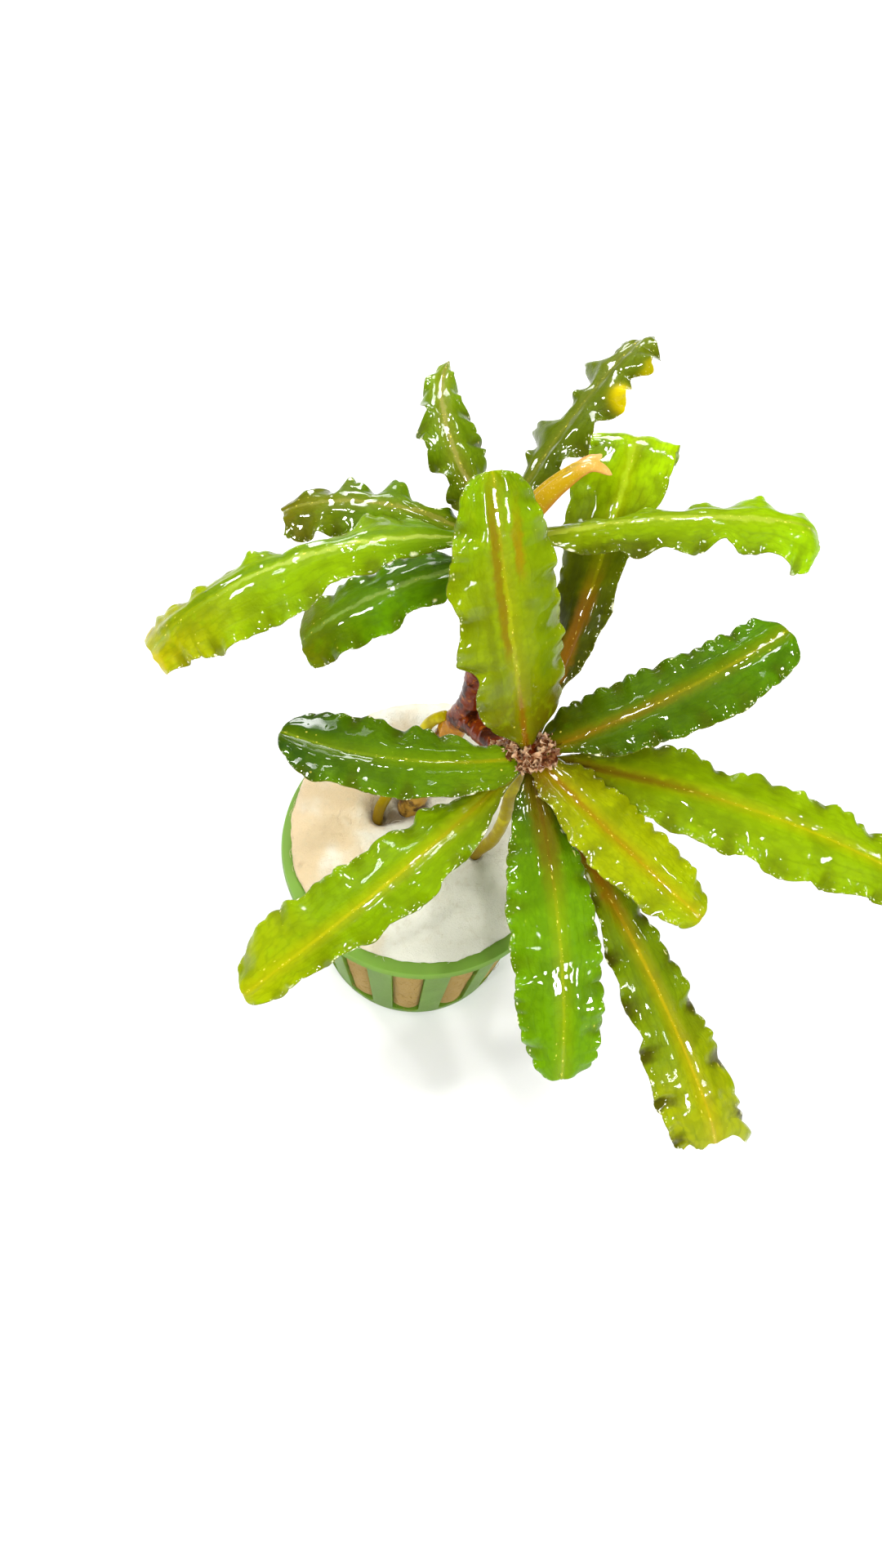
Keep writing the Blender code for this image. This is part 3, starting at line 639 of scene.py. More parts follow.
def blade(leaf, rows, columns, thick, rib):
    """Points, faces and per-point values of one leaf as a closed sheet with rounded margins."""
    s_row = 1.0 - (1.0 - np.linspace(0.0, 1.0, rows)) ** 1.3
    v_row = np.sin(np.linspace(1.0, -1.0, columns) * math.pi / 2)
    s, v = np.meshgrid(s_row, v_row, indexing="ij")
    size, side = np.abs(v), np.where(v >= 0, 1.0, -1.0)
    half, cap, bladed, turn = half_widths(leaf, s, side)
    far, aside = s * leaf["length"], v * half

    # How far each place is lifted: waves, lobes, the halves' humps, folds beside the rib, quilt and droop.
    wave_turn = math.tau * leaf["waves"] * s + leaf["phase"] + side * SIDE_PHASE
    wave = np.sin(wave_turn) + 0.3 * np.sin(1.7 * wave_turn + 1.0)
    reach = smooth(s / WAVES_FULL) * bladed * np.minimum(1.0, cap * 1.6)
    lift = leaf["ruffle"] * reach * wave * size ** 2.2
    lift -= leaf["scallop"] * 0.42 * reach * np.cos(2 * turn) * size ** 7
    lift += half * HUMP * bladed * np.sin(math.pi * size ** 0.8)
    folds = hill(np.abs(aside) - FOLD_ASIDE, FOLD_WIDTH) + 0.6 * np.cos(math.tau * 2.6 * size) * (1 - size)
    lift += FOLD_HEIGHT * bladed * smooth(half / 2.0) * folds * (1 + 0.5 * np.sin(far / 5.0 + side))
    lift += quilt(far, aside, leaf["phase"]) * bladed * (1.0 + 3.0 * size ** 5)
    droop = np.radians(mix(*leaf["droop"], s)) * bladed
    slope = droop * mix(leaf.get("crease", DROOP_AT_RIB), 1.0, size)
    lift -= size * half * np.sin(slope)

    # The middle of the sheet, and the way out of its upper face.
    at_spine = s
    if leaf.get("tip"):
        ahead = through(leaf["tip"], (v + 1) / 2) / leaf["length"]
        at_spine = s + ahead * smooth((s - TIP_FROM) / (1.0 - TIP_FROM))
    place, left, normal = spine_at(leaf_spine(leaf), at_spine)
    middle = place + left * (aside * np.cos(slope))[..., None] + normal * lift[..., None]
    out = np.cross(np.gradient(middle, axis=1), np.gradient(middle, axis=0))
    length_out = np.linalg.norm(out, axis=-1, keepdims=True)
    out = np.where(length_out > 1e-9, out / np.maximum(length_out, 1e-9), normal)

    # A round stalk turns into a blade with rounded margins, a groove above its rib and a ridge below.
    rounded = np.sqrt(np.clip(1.0 - size ** 6, 0.0, 1.0))
    stalk = STALK_RADIUS * np.sqrt(np.clip(1.0 - size ** 2, 0.0, 1.0))
    flat = 0.5 * thick * rounded * np.clip(cap * 2.0, 0.25, 1.0) * (1.0 - 0.25 * size)
    groove = rib * (0.44 * hill(aside, GROOVE_WIDTH) - 0.22 * hill(aside, FINE_WIDTH))
    ridge = rib * hill(aside, RIDGE_WIDTH) * (1.0 - 0.75 * s)
    upper = middle + out * mix(stalk, flat - groove * rounded, bladed)[..., None]
    lower = middle - out * mix(stalk, flat + ridge * rounded, bladed)[..., None]

    aged = 0.0 * v
    for at_s, at_v, wide_s, wide_v, amount in leaf.get("aged", ()):
        spot = hill(s - at_s, wide_s) * hill(v - at_v, wide_v)
        aged = np.maximum(aged, amount * smooth(spot * 1.6))
    values = {"along": s, "across": v, "aside": aside, "inset": half - np.abs(aside),
              "hollow": wave / 1.3 * size ** 2 * reach, "under": 0.0 * v, "aged": aged}
    return closed_sheet(upper, lower, middle, values)


def leaf_finish(name, settings):
    foot, middle, tip, rib_foot, rib, depth = LOOKS[name]
    finish = Finish(name, specular_ior_level=0.02)
    finish.glow(settings.glow, 0.8, (0.8, 1.0, 0.05))
    rise, fall, blend = finish.rise, finish.fall, finish.blend
    along, across, aside = finish.value("along"), finish.value("across"), finish.value("aside")
    inset, hollow, under = finish.value("inset"), finish.value("hollow"), finish.value("under")
    patches, mottle, grain = finish.cloud(6.0), finish.cloud(1.6, 3.0), finish.cloud(0.35)
    dark, bright = tone(middle, 0.45), tone(middle, 1.45)
    shift, from_rib = patches - 0.5, abs(aside)

    # Painted shade: the foot colour darkens each blade towards the crown.
    colour = blend(rise(along + shift * 0.25, 0.02, 0.44), tone(foot), tone(middle))
    colour = blend(rise(along + shift * 0.3, 0.55, 1.0), colour, tone(tip))
    colour = blend(rise(patches, 0.5, 0.7) * 0.45, colour, dark)
    colour = blend(rise(mottle, 0.5, 0.8) * 0.4, colour, bright)
    veins = (abs(across) * 4.5 + shift * 0.5).math("PINGPONG", 0.5)
    veins = fall(veins, 0.0, 0.14) * rise(from_rib, 0.8, 1.6) * rise(mottle, 0.3, 0.6)
    colour = blend(veins * 0.16, colour, dark)
    mesh = finish.cells(finish.point(along * 34.0, across * 9.0 + shift * 2.0))
    colour = blend(rise(mesh, 0.42, 0.7) * 0.2, colour, dark)
    # Painted shade in the hollows of the margin's waves, and a painted highlight on their crests.
    colour = blend(rise(-hollow + (mottle - 0.5) * 0.6, 0.05, 0.6) * depth, colour, paint(60, 56, 3))
    colour = blend(rise(hollow, 0.3, 1.0) * 0.35, colour, bright)

    colour = blend(fall(from_rib, 0.2, 2.2) * 0.3, colour, tone(rib))
    on_rib = fall(from_rib + (grain - 0.5) * 0.3 + along * 0.14, 0.12, 0.5)
    rib_colour = blend(rise(along, 0.08, 0.58), tone(rib_foot), tone(rib))
    colour = blend(on_rib * (0.25 + mottle * 0.7), colour, rib_colour)
    for offset, wide, start, stop, shade, strength in STRIPES.get(name, ()):
        near = fall(abs(aside - offset + (mottle - 0.5) * 1.4), wide * 0.5, wide * 1.7)
        there = rise(along, start, start + 0.1) * fall(along, stop - 0.25, stop)
        colour = blend(near * there * (0.65 + mottle * 0.5) * strength, colour, tone(shade))
    margin = fall(inset + (grain - 0.5) * 0.15, 0.04, 0.22)
    colour = blend(margin * 0.55, colour, paint(88, 84, 14))

    # Painted glints: pale flecks, more of them at the margins and on the rib, and whiter at the margins.
    at_margin, at_rib = fall(inset, 0.3, 1.1), fall(from_rib, 0.15, 0.5)
    glint_paint = 0.0
    for pace, wide, few in PAINTED_GLINTS:
        where = finish.point(along * pace, aside * wide, under * 9.0)
        glint_dot = fall(finish.cells(where) + (grain - 0.5) * 0.2, 0.1, 0.3)
        chance = finish.cells(where, "Color") + at_margin * 0.32 + at_rib * 0.3
        glint_paint = glint_dot * rise(chance, few, few + 0.04) + glint_paint
    glint_colours = blend(at_margin, paint(240, 222, 90), paint(255, 252, 214))
    colour = blend(glint_paint.math("MINIMUM", 1.0) * settings.sparkle, colour, glint_colours)
    colour = blend(finish.value("aged"), colour, paint(204, 184, 3))
    colour = blend(under * 0.45, colour, tone((128, 140, 40)))

    bumps = grain * 0.6 + mottle * 0.7 + (1.0 - veins) * 0.2 - mesh * 0.35
    wet = at_margin * 0.6 + WET_BLADES.get(name, DRY_BLADE) + at_rib * 0.5 + rise(patches, 0.5, 0.6) * 0.55
    finish.wet((wet * settings.wetness).math("MINIMUM", 1.0), 0.035)
    return finish.skin(colour, 0.3 + mottle * 0.2, bumps, 0.14, 0.75)


def make_leaf(name, settings):
    points, faces, table = blade(LEAVES[name], LEAF_ROWS, LEAF_COLUMNS, settings.thickness / MM, LEAF_RIB)
    leaf = piece("Leaf_" + name.removeprefix("leaf_"), points, faces, leaf_finish(name, settings))
    for key, values in table.items():
        attribute(leaf, key, values)
    keep(leaf, "leaf", name)


# Stems and roots

def smooth_route(route, radii, count):
    """Points and radii at even steps along a smooth curve through the knots, and how far along each is."""
    share = np.linspace(0.0, 1.0, count * 8)
    fine = np.stack([through([p[k] for p in route], share) for k in range(3)], 1)
    far = np.concatenate([[0.0], np.cumsum(np.linalg.norm(np.diff(fine, axis=0), axis=1))])
    even = np.linspace(0.0, far[-1], count)
    line = np.stack([np.interp(even, far, fine[:, k]) for k in range(3)], 1)
    return line, np.interp(even, far, through(radii, share)), even


def stem_tree():
    """Geometry Nodes that turn a line of points with a girth into a stem or root."""
    made = GeometryTree("Stem along a line", "Line", {
        "Sides": ("Int", 28), "Spacing": ("Float", 0.3 * MM), "Lump height": ("Float", 0.2 * MM),
        "Lump size": ("Float", 2.0 * MM), "Ring pitch": ("Float", 2.0 * MM), "Ring height": ("Float", 0.0),
        "Seed": ("Float", 1.0)}, "Stem")
    given, step = made.given, made.step
    line = step("MeshToCurve", {0: given["Line"]})
    line = step("ResampleCurve", {"Curve": line, "Length": given["Spacing"]}, mode="LENGTH")
    girth = step("InputNamedAttribute", {"Name": "girth"}, data_type="FLOAT")
    far = step("SplineParameter", output="Length")
    line = step("StoreNamedAttribute", {"Geometry": line, "Name": "far", "Value": far}, data_type="FLOAT",
                domain="POINT")
    circle = step("CurvePrimitiveCircle", {"Resolution": given["Sides"], "Radius": 1.0})
    tube = step("CurveToMesh", {"Curve": line, "Profile Curve": circle, "Scale": girth, "Fill Caps": True})
    lumps = made.add("ShaderNodeTexNoise", {"Vector": step("InputPosition"), "W": given["Seed"],
                                            "Scale": 1.0 / given["Lump size"], "Detail": 2.0},
                     noise_dimensions="4D")
    along = step("InputNamedAttribute", {"Name": "far"}, data_type="FLOAT")
    ring = (along / given["Ring pitch"] + lumps * 0.5).math("FRACT")
    ring = (1.0 - ring) ** 3.0 * (ring * 12.0).math("MINIMUM", 1.0)
    height = (lumps - 0.5) * 2.0 * given["Lump height"] + ring * given["Ring height"]
    offset = made.add("ShaderNodeVectorMath", {0: step("InputNormal"), "Scale": height}, operation="SCALE")
    tube = step("SetPosition", {"Geometry": tube, "Offset": offset})
    return made.close(step("SetShadeSmooth", {"Geometry": tube}))


def feed(obj, tree, **values):
    """Puts a Geometry Nodes tree on obj and sets its inputs by their identifiers."""
    modifier = obj.modifiers.new(tree.name, "NODES")
    modifier.node_group = tree
    for item in tree.interface.items_tree:
        key = item.name.lower().replace(" ", "_")
        if item.in_out == "INPUT" and key in values:
            modifier[item.identifier] = values[key]


def make_stem(name, route, radii, finish, rounded=(0.0, 0.0), **values):
    """A stem or root along a route. rounded gives how far its two ends are drawn in, in millimetres."""
    line, girth, far = smooth_route(route, radii, STEM_STATIONS)
    for from_end, drawn in ((far, rounded[0]), (far[-1] - far, rounded[1])):
        if drawn:
            girth = girth * dome(from_end / drawn, 0.0025)
    mesh = bpy.data.meshes.new(name)
    mesh.from_pydata([tuple(p) for p in line * MM], [(i, i + 1) for i in range(len(line) - 1)], [])
    stem = link_new(name, mesh)
    attribute(stem, "girth", girth * MM)
    feed(stem, bpy.data.node_groups.get("Stem along a line") or stem_tree(), finish=finish, **values)
    return modified(stem)


def rhizome_finish():
    finish = Finish("rhizome", specular_ior_level=0.04)
    finish.wet(0.7, 0.05)
    patches, mottle, grain = finish.cloud(3.0, 3.0), finish.cloud(0.9, 4.0), finish.cloud(0.25)
    level = finish.coordinate(2) + (patches - 0.5) * 14.0
    colour = finish.layers(
        paint(196, 150, 60), (finish.rise(level, 55.0, 62.0), (198, 132, 4)),
        (finish.rise(level, 69.0, 74.0), (118, 44, 8)), (finish.rise(patches, 0.5, 0.62) * 0.85, (44, 16, 6)),
        (finish.rise(mottle, 0.56, 0.72) * 0.6, (190, 104, 20)))
    return finish.skin(colour, 0.25 + mottle * 0.35, grain + mottle, 0.15, 0.6)


def scale_finish():
    finish = Finish("papery scales", specular_ior_level=0.05)
    finish.wet(0.8, 0.05, 1.4)
    finish.glow(0.3, 0.6, (1.0, 0.5, 0.3))
    mottle, grain, patches = finish.cloud(0.8, 4.0), finish.cloud(0.2), finish.cloud(2.6)
    # The pale tips are partly the scales' own paler ends and partly painted highlight.
    tips = finish.rise(finish.value("along") + (mottle - 0.5) * 0.8, 0.55, 1.0)
    colour = finish.layers(
        paint(96, 50, 22), (finish.rise(mottle, 0.4, 0.62), (156, 104, 62)), (tips, (212, 172, 134)),
        (finish.rise(patches, 0.55, 0.7) * 0.6, (74, 26, 10)))
    return finish.skin(colour, 0.4 + grain * 0.3, grain + mottle, 0.12, 0.7)


def root_finish():
    finish = Finish("root", specular_ior_level=0.02)
    finish.wet(0.4, 0.04)
    patches, grain = finish.cloud(3.5, 3.0), finish.cloud(0.3, 3.0)
    colour = finish.layers(
        paint(168, 148, 1), (finish.rise(patches, 0.4, 0.65), (206, 192, 1)),
        (finish.fall(finish.coordinate(2), 46.0, 60.0), (140, 112, 12)),
        (finish.rise(grain, 0.62, 0.75) * 0.5, (122, 104, 20)))
    return finish.skin(colour, 0.25 + patches * 0.2, grain, 0.1, 0.5)


def young_finish():
    finish = Finish("young leaf", specular_ior_level=0.05)
    finish.wet(0.5, 0.05)
    finish.glow(0.3, 1.0, (1.0, 0.6, 0.15))
    along, around = finish.value("along"), finish.value("across")
    patches, grain = finish.cloud(2.4, 3.0), finish.cloud(0.3)
    shift = patches - 0.5
    colour = finish.layers(
        paint(150, 106, 4), (finish.rise(along + shift * 0.3, 0.1, 0.5), (176, 142, 12)),
        (finish.rise(along + shift * 0.2, 0.7, 0.98), (206, 158, 84)),
        (finish.rise(around, 0.2, 0.9) * 0.55, (206, 110, 40)),
        (finish.rise(grain, 0.6, 0.75) * 0.4, (240, 214, 130)))
    return finish.skin(colour, 0.3 + grain * 0.25, grain + patches, 0.1, 0.5)


# Pot and wool

def pot_tree():
    """Geometry Nodes that repeat one slot and one bar of the pot round its axis."""
    made = GeometryTree("Repeat round the pot", "Sector", {"Count": ("Int", None)}, "Pot")
    given, step = made.given, made.step
    turns = step("MeshLine", {"Count": given["Count"], "Offset": (0.0, 0.0, 0.0)})
    spin = made.add("ShaderNodeCombineXYZ", {2: step("InputIndex") * math.tau / given["Count"]})
    ring = step("InstanceOnPoints", {"Points": turns, "Instance": given["Sector"], "Rotation": spin})
    ring = step("RealizeInstances", {"Geometry": ring})
    return made.close(step("MergeByDistance", {"Geometry": ring, "Distance": 0.02 * MM}))


def fibre_tree():
    """Geometry Nodes that scatter short bent fibres over the wool."""
    made = GeometryTree("Loose fibres", "Wool", {
        "Density": ("Float", None), "Length": ("Float", None), "Thickness": ("Float", None),
        "Seed": ("Int", None)}, "Fibres")
    given, step = made.given, made.step
    scatter = step("DistributePointsOnFaces", {"Mesh": given["Wool"], "Density": given["Density"],
                                               "Seed": given["Seed"]})
    arc = step("CurveArc", {"Resolution": 6, "Radius": given["Length"] * 0.5, "Sweep Angle": 1.9})
    arc = step("Transform", {"Geometry": arc, "Translation": (0.0, 0.0, -0.1 * MM)})
    thread = step("CurvePrimitiveCircle", {"Resolution": 3, "Radius": given["Thickness"]})
    fibre = step("CurveToMesh", {"Curve": arc, "Profile Curve": thread, "Fill Caps": True})
    lean = made.add("FunctionNodeAlignRotationToVector", {"Vector": scatter.other("Normal")}, axis="Z")
    turn = made.add("FunctionNodeRandomValue", {0: (-0.5, -0.5, 0.0), 1: (0.5, 0.5, math.tau),
                                                "Seed": given["Seed"]}, data_type="FLOAT_VECTOR")
    spin = made.add("FunctionNodeRotateRotation", {0: lean, 1: turn}, rotation_space="LOCAL")
    size = made.add("FunctionNodeRandomValue", {2: 0.4, 3: 1.2, "Seed": given["Seed"] + 7}, 1,
                    data_type="FLOAT")
    return made.close(step("InstanceOnPoints", {"Points": scatter, "Instance": fibre, "Rotation": spin,
                                                "Scale": size}))


def pot_finish(settings):
    finish = Finish("pot plastic", specular_ior_level=0.08)
    finish.glow(0.25, 1.2, (0.3, 1.0, 0.3))
    base, light = solid(settings.plastic), solid(settings.plastic, 1.6, 0.03)
    patches, grain = finish.cloud(9.0), finish.cloud(0.5, 3.0)
    # Painted highlight: the plastic is lighter towards the top, on the rim.
    colour = finish.blend(finish.rise(finish.coordinate(2) + patches, 40.0, 42.4) * 0.85, base, light)
    colour = finish.blend(finish.rise(patches, 0.45, 0.7) * 0.25, colour, light)
    return finish.skin(colour, 0.34 + grain * 0.16, grain, 0.05, 0.4)


def wool_finish(settings):
    finish = Finish("mineral wool", specular_ior_level=0.1, sheen_weight=0.1, sheen_roughness=0.6)
    patches, mottle, grain = finish.cloud(7.0, 3.0), finish.cloud(1.4, 4.0, 0.65), finish.cloud(0.25, 3.0)
    # Tan patches at random, and painted shade that turns the wool tan towards the left.
    patches_and_left_shade = finish.rise(patches - finish.coordinate(0) * 0.022, 0.5, 0.95)
    colour = finish.layers(solid(settings.wool), (patches_and_left_shade * 0.85, (218, 190, 142)),
                           (finish.rise(mottle, 0.5, 0.75) * 0.3, (198, 186, 156)))
    # Inside the pot the wool is brown: partly damp, partly painted shade.
    inside = finish.fall(finish.coordinate(2) + (patches - 0.5) * 4.0, 39.6, 42.0)
    colour = finish.blend(inside, colour, solid(settings.damp_and_shade))
    # Painted shade: the wool turns dark brown in the hollows where the stem and roots go in.
    hollow = finish.rise(finish.value("dent") + (mottle - 0.5) * 0.4, 0.2, 0.9)
    colour = finish.layers(colour, (hollow * 0.85, (104, 78, 26)))
    return finish.skin(colour, 0.95, mottle + grain * 0.6, 0.35, 0.9)


def pot_rows(settings):
    """The pot's outside as radii and heights in millimetres, from its base out and up to the lip's edge."""
    wall, rim, height = settings.wall / MM, settings.rim_radius / MM, POT_HIGH.z / MM
    base, mouth = settings.base_radius / MM, settings.mouth_radius / MM
    rows = [(BASE_SLOT[0], 0.0), (BASE_SLOT[1], 0.0), (base - FOOT_ROUND, 0.0), (base, FOOT_ROUND)]
    rows += [(mix(base, mouth, z / height), z) for z in WALL_HEIGHTS]
    top = height - wall
    return rows + [(mouth, top), (rim - wall, top), (rim - wall + LIP_SPLAY, height - LIP_DROP)]


def pot_sector(settings):
    """Points and faces of one slot and one bar."""
    pitch = math.tau / settings.slots
    slot = settings.slot_share * pitch
    turns = [SLOT_TURN + slot * k / SLOT_COLUMNS for k in range(SLOT_COLUMNS)]
    turns += [SLOT_TURN + slot + (pitch - slot) * k / BAR_COLUMNS for k in range(BAR_COLUMNS + 1)]
    rows, columns = pot_rows(settings), len(turns)
    heights = [z for radius, z in rows]
    low, high = heights.index(SLOT_LOW), heights.index(SLOT_HIGH)
    corner = CORNER * 0.6
    points, faces = [], []
    for i, (radius, z) in enumerate(rows):
        for k, turn in enumerate(turns):
            rounded = {low: corner, high: -corner}.get(i, 0.0) if k in (0, SLOT_COLUMNS) else 0.0
            points.append((radius * math.cos(turn), radius * math.sin(turn), z + rounded))
    for i in range(len(rows) - 1):
        in_slot = i == 0 or low <= i < high
        for k in range(SLOT_COLUMNS if in_slot else 0, columns - 1):
            a = i * columns + k
            faces.append((a, a + 1, a + columns + 1, a + columns))
    faces += [(len(points), k + 1, k) for k in range(columns - 1)]
    return points + [(0.0, 0.0, 0.0)], faces


def wool_rings(pot):
    """The plug as rings of radius, height, shift towards the back and tilt, from the pot's base up."""
    wall, mouth, base, height = pot.wall / MM, pot.mouth_radius / MM, pot.base_radius / MM, POT_HIGH.z / MM
    heights = np.concatenate([[wall + 0.2, wall + 0.5], np.linspace(2.2, WOOL_FILL, WOOL_SIDE_ROWS)])
    sides = [(mix(base, mouth, z / height) - wall - WOOL_GAP, z, 0.0, 0.0) for z in heights]
    sides[0] = (sides[0][0] - 0.6,) + sides[0][1:]
    knots = np.array(sides[-2:] + WOOL_TOP, float)
    share = np.linspace(1.0 / (len(knots) - 1), 1.0, WOOL_TOP_ROWS + 1)[1:]
    return sides + np.stack([through(knots[:, k], share) for k in range(4)], 1).tolist()


def wool_ring(ring, pot, lump):
    """One ring of the wool's points, pressed out into the pot's slots and swollen above it. Each has with it
    how deep it lies in a hollow."""
    radius, z, back, tilt = ring
    pitch, wall = math.tau / pot.slots, pot.wall / MM
    slot = pot.slot_share * pitch
    in_slots = float(smooth((z - SLOT_LOW - 0.5) / 1.2) * smooth((SLOT_HIGH - 0.5 - z) / 1.2))
    free = float(smooth((z - WOOL_FREE) / 1.5))
    found = []
    for k in range(WOOL_COLUMNS):
        turn = math.tau * k / WOOL_COLUMNS
        place = (turn - SLOT_TURN) % pitch / slot
        pressed = math.sin(math.pi * place) ** 0.5 * in_slots if 0.0 < place < 1.0 else 0.0
        r = radius + pressed * (wall - 0.05)
        p = Vector((r * math.cos(turn), back + r * math.sin(turn), z + tilt * r * math.sin(turn)))
        swell = sum(noise.noise(p * pace) * share for pace, share in WOOL_SWELLS)
        swell *= lump * max(free, 0.35 * pressed)
        out = Vector((math.cos(turn), math.sin(turn), 0.0))
        out = out.lerp(Vector((0, 0, 1)), 1 - min(1, radius / WOOL_REACH))
        p += out.normalized() * swell
        dent = 0.0
        for x, y, reach, depth in WOOL_HOLES if free else ():
            near = math.exp(-((p.x - x) ** 2 + (p.y - y) ** 2) / (reach * reach * 0.5))
            p.z -= depth * near * free
            dent = max(dent, near)
        found.append((p, dent))
    return found


# Settings

def number(name, description, default, kind=FloatProperty, **limits):
    return kind(name=name, description=description, default=default, **limits)


def length(name, description, default):
    return number(name, description, default, unit="LENGTH")


def power(name, description, default):
    return number(name, description, default, min=0.0, unit="POWER")


def factor(name, description, default, low=0.0, high=1.0):
    return number(name, description, default, min=low, max=high, subtype="FACTOR")


def count(name, description, default, low=0):
    return number(name, description, default, IntProperty, min=low)


def tint(name, description, default):
    return number(name, description, default, FloatVectorProperty, size=3, min=0.0, max=1.0, subtype="COLOR")


class StageSettings(PropertyGroup):
    floor: tint("Floor", "Colour of the floor", (0.86, 0.86, 0.85))
    sky: number("Sky", "Strength of the even light all round", 0.3, min=0.0)
    sheen: power("Mirrored light", "Power of the lights that only wet faces mirror", 9.0)
    key: power("Key light", "Power of the large light above the plant", 4.0)
    glints: count("Small lights", "Small lights that give the wet leaves their glints", 8)


class PotSettings(PropertyGroup):
    rim_radius: length("Rim radius", "Outer radius of the turned-down rim", POT_HIGH.x)
    mouth_radius: length("Mouth radius", "Outer radius of the wall at its top", 23.4 * MM)
    base_radius: length("Base radius", "Outer radius of the wall at its foot", 18.7 * MM)
    wall: length("Wall", "Thickness of the plastic", 0.9 * MM)
    slots: count("Slots", "Upright slots round the wall", 13, 3)
    slot_share: factor("Slot share", "Part of each slot and bar that is open", 0.56, 0.1, 0.9)
    plastic: tint("Plastic", "Colour of the pot", (0.105, 0.205, 0.012))


class WoolSettings(PropertyGroup):
    lump: length("Lump height", "How far the wool's surface swells and sinks", 0.45 * MM)
    fibres: count("Fibres", "Loose fibres per square centimetre", 60)
    wool: tint("Wool", "Colour of the clean wool", (0.83, 0.81, 0.70))
    # The wool inside the pot is partly damp and partly painted shade.
    damp_and_shade: tint("Damp wool", "Colour of the wool inside the pot", (0.36, 0.225, 0.04))


class StemSettings(PropertyGroup):
    ring_pitch: length("Ring spacing", "Distance between the stem's leaf scars", 2.0 * MM)
    ring_height: length("Ring height", "How far the leaf scars stand out", 0.14 * MM)
    scales: count("Scales", "Papery scales round the low crown", 210)


class LeafSettings(PropertyGroup):
    thickness: length("Thickness", "Thickness of the blades", 0.5 * MM)
    wetness: factor("Wetness", "Strength of the wet coat", 0.95)
    glow: factor("Glow", "Light that passes through the blades", 0.15)
    # The small pale flecks are painted glints.
    sparkle: factor("Sparkle", "Strength of the small pale flecks", 0.7)


# Operators

def add_lamp(name, place, size, energy, mirrored, lights_all):
    """A square light that aims at the plant's middle."""
    lamp = bpy.data.lights.new(name, "AREA")
    lamp.shape, lamp.size, lamp.energy = "SQUARE", size, energy
    obj = link_new(name, lamp)
    obj.location = place
    obj.visible_glossy = mirrored
    obj.visible_diffuse = obj.visible_transmission = lights_all
    obj.rotation_euler = (Vector(LIGHTS_AIM) - Vector(place)).to_track_quat("-Z", "Y").to_euler()


class PLANT_OT_stage(Operator):
    """Puts up the floor, the soft light and the camera"""
    bl_idname = "plant.stage"
    bl_label = "Stage"

    def execute(self, context):
        settings, scene = context.scene.plant_stage, context.scene
        camera = link_new("Camera", bpy.data.cameras.new("Camera"))
        camera.data.sensor_width, camera.data.lens = 36.0, CAMERA_LENS
        camera.data.clip_start, camera.data.clip_end = 0.01, 20.0
        right, up = Vector(CAMERA_RIGHT), Vector(CAMERA_UP)
        turned = Matrix((right, up, right.cross(up))).transposed()
        camera.matrix_world = Matrix.Translation(Vector(CAMERA_PLACE) * MM) @ turned.to_4x4()
        scene.camera = camera
        scene.view_settings.view_transform = "Standard"

        finish = Finish("floor", roughness=0.8)
        colour = finish.blend(finish.cloud(60.0), solid(settings.floor), solid(settings.floor, 0.97))
        signs = ((-1, -1), (1, -1), (1, 1), (-1, 1))
        corners = [(x * FLOOR_REACH, y * FLOOR_REACH, -FLOOR_DROP) for x, y in signs]
        floor = piece("Floor", corners, [(0, 1, 2, 3)], finish.put(base_color=colour))

        world = bpy.data.worlds.new("Even light")
        world.use_nodes = True
        back = world.node_tree.nodes["Background"]
        back.inputs["Color"].default_value = (0.96, 0.98, 1.0, 1.0)
        back.inputs["Strength"].default_value = settings.sky
        world.cycles_visibility.glossy = False
        scene.world = world
        for name, place, size, share in SOFT_LIGHTS:
            add_lamp(f"{name} light", place, size, settings.key * share, False, True)
        for name, place, size, share in MIRRORED_LIGHTS:
            add_lamp(f"Mirrored {name} light", place, size, settings.sheen * share, True, False)
        for k in range(settings.glints):
            turn = math.tau * (k + 0.3) / settings.glints
            lift = math.radians(SMALL_LIGHT_LIFTS[k % len(SMALL_LIGHT_LIFTS)])
            way = Vector((math.cos(turn) * math.cos(lift), math.sin(turn) * math.cos(lift), math.sin(lift)))
            place = SMALL_LIGHT_DISTANCE * way
            add_lamp(f"Small light {k + 1}", place, SMALL_LIGHT_SIZE, SMALL_LIGHT_POWER, True, True)
        return {"FINISHED"}


class PLANT_OT_net_pot(Operator):
    """Makes the slotted plastic pot with its turned-down rim"""
    bl_idname = "plant.net_pot"
    bl_label = "Net pot"

    def execute(self, context):
        settings = context.scene.plant_pot
        pot = piece("Net_pot", *pot_sector(settings))
        feed(pot, pot_tree(), count=settings.slots, finish=pot_finish(settings))
        thick = pot.modifiers.new("wall", "SOLIDIFY")
        thick.thickness, thick.offset, thick.use_even_offset = settings.wall, -1.0, True
        bevel = pot.modifiers.new("moulded edges", "BEVEL")
        bevel.width, bevel.segments, bevel.limit_method = 0.22 * MM, 3, "ANGLE"
        bevel.angle_limit = math.radians(35.0)
        pot = modified(pot)
        pot.data.set_sharp_from_angle(angle=math.radians(50.0))
        keep(pot, "pot_plastic", "net_pot")
        return {"FINISHED"}


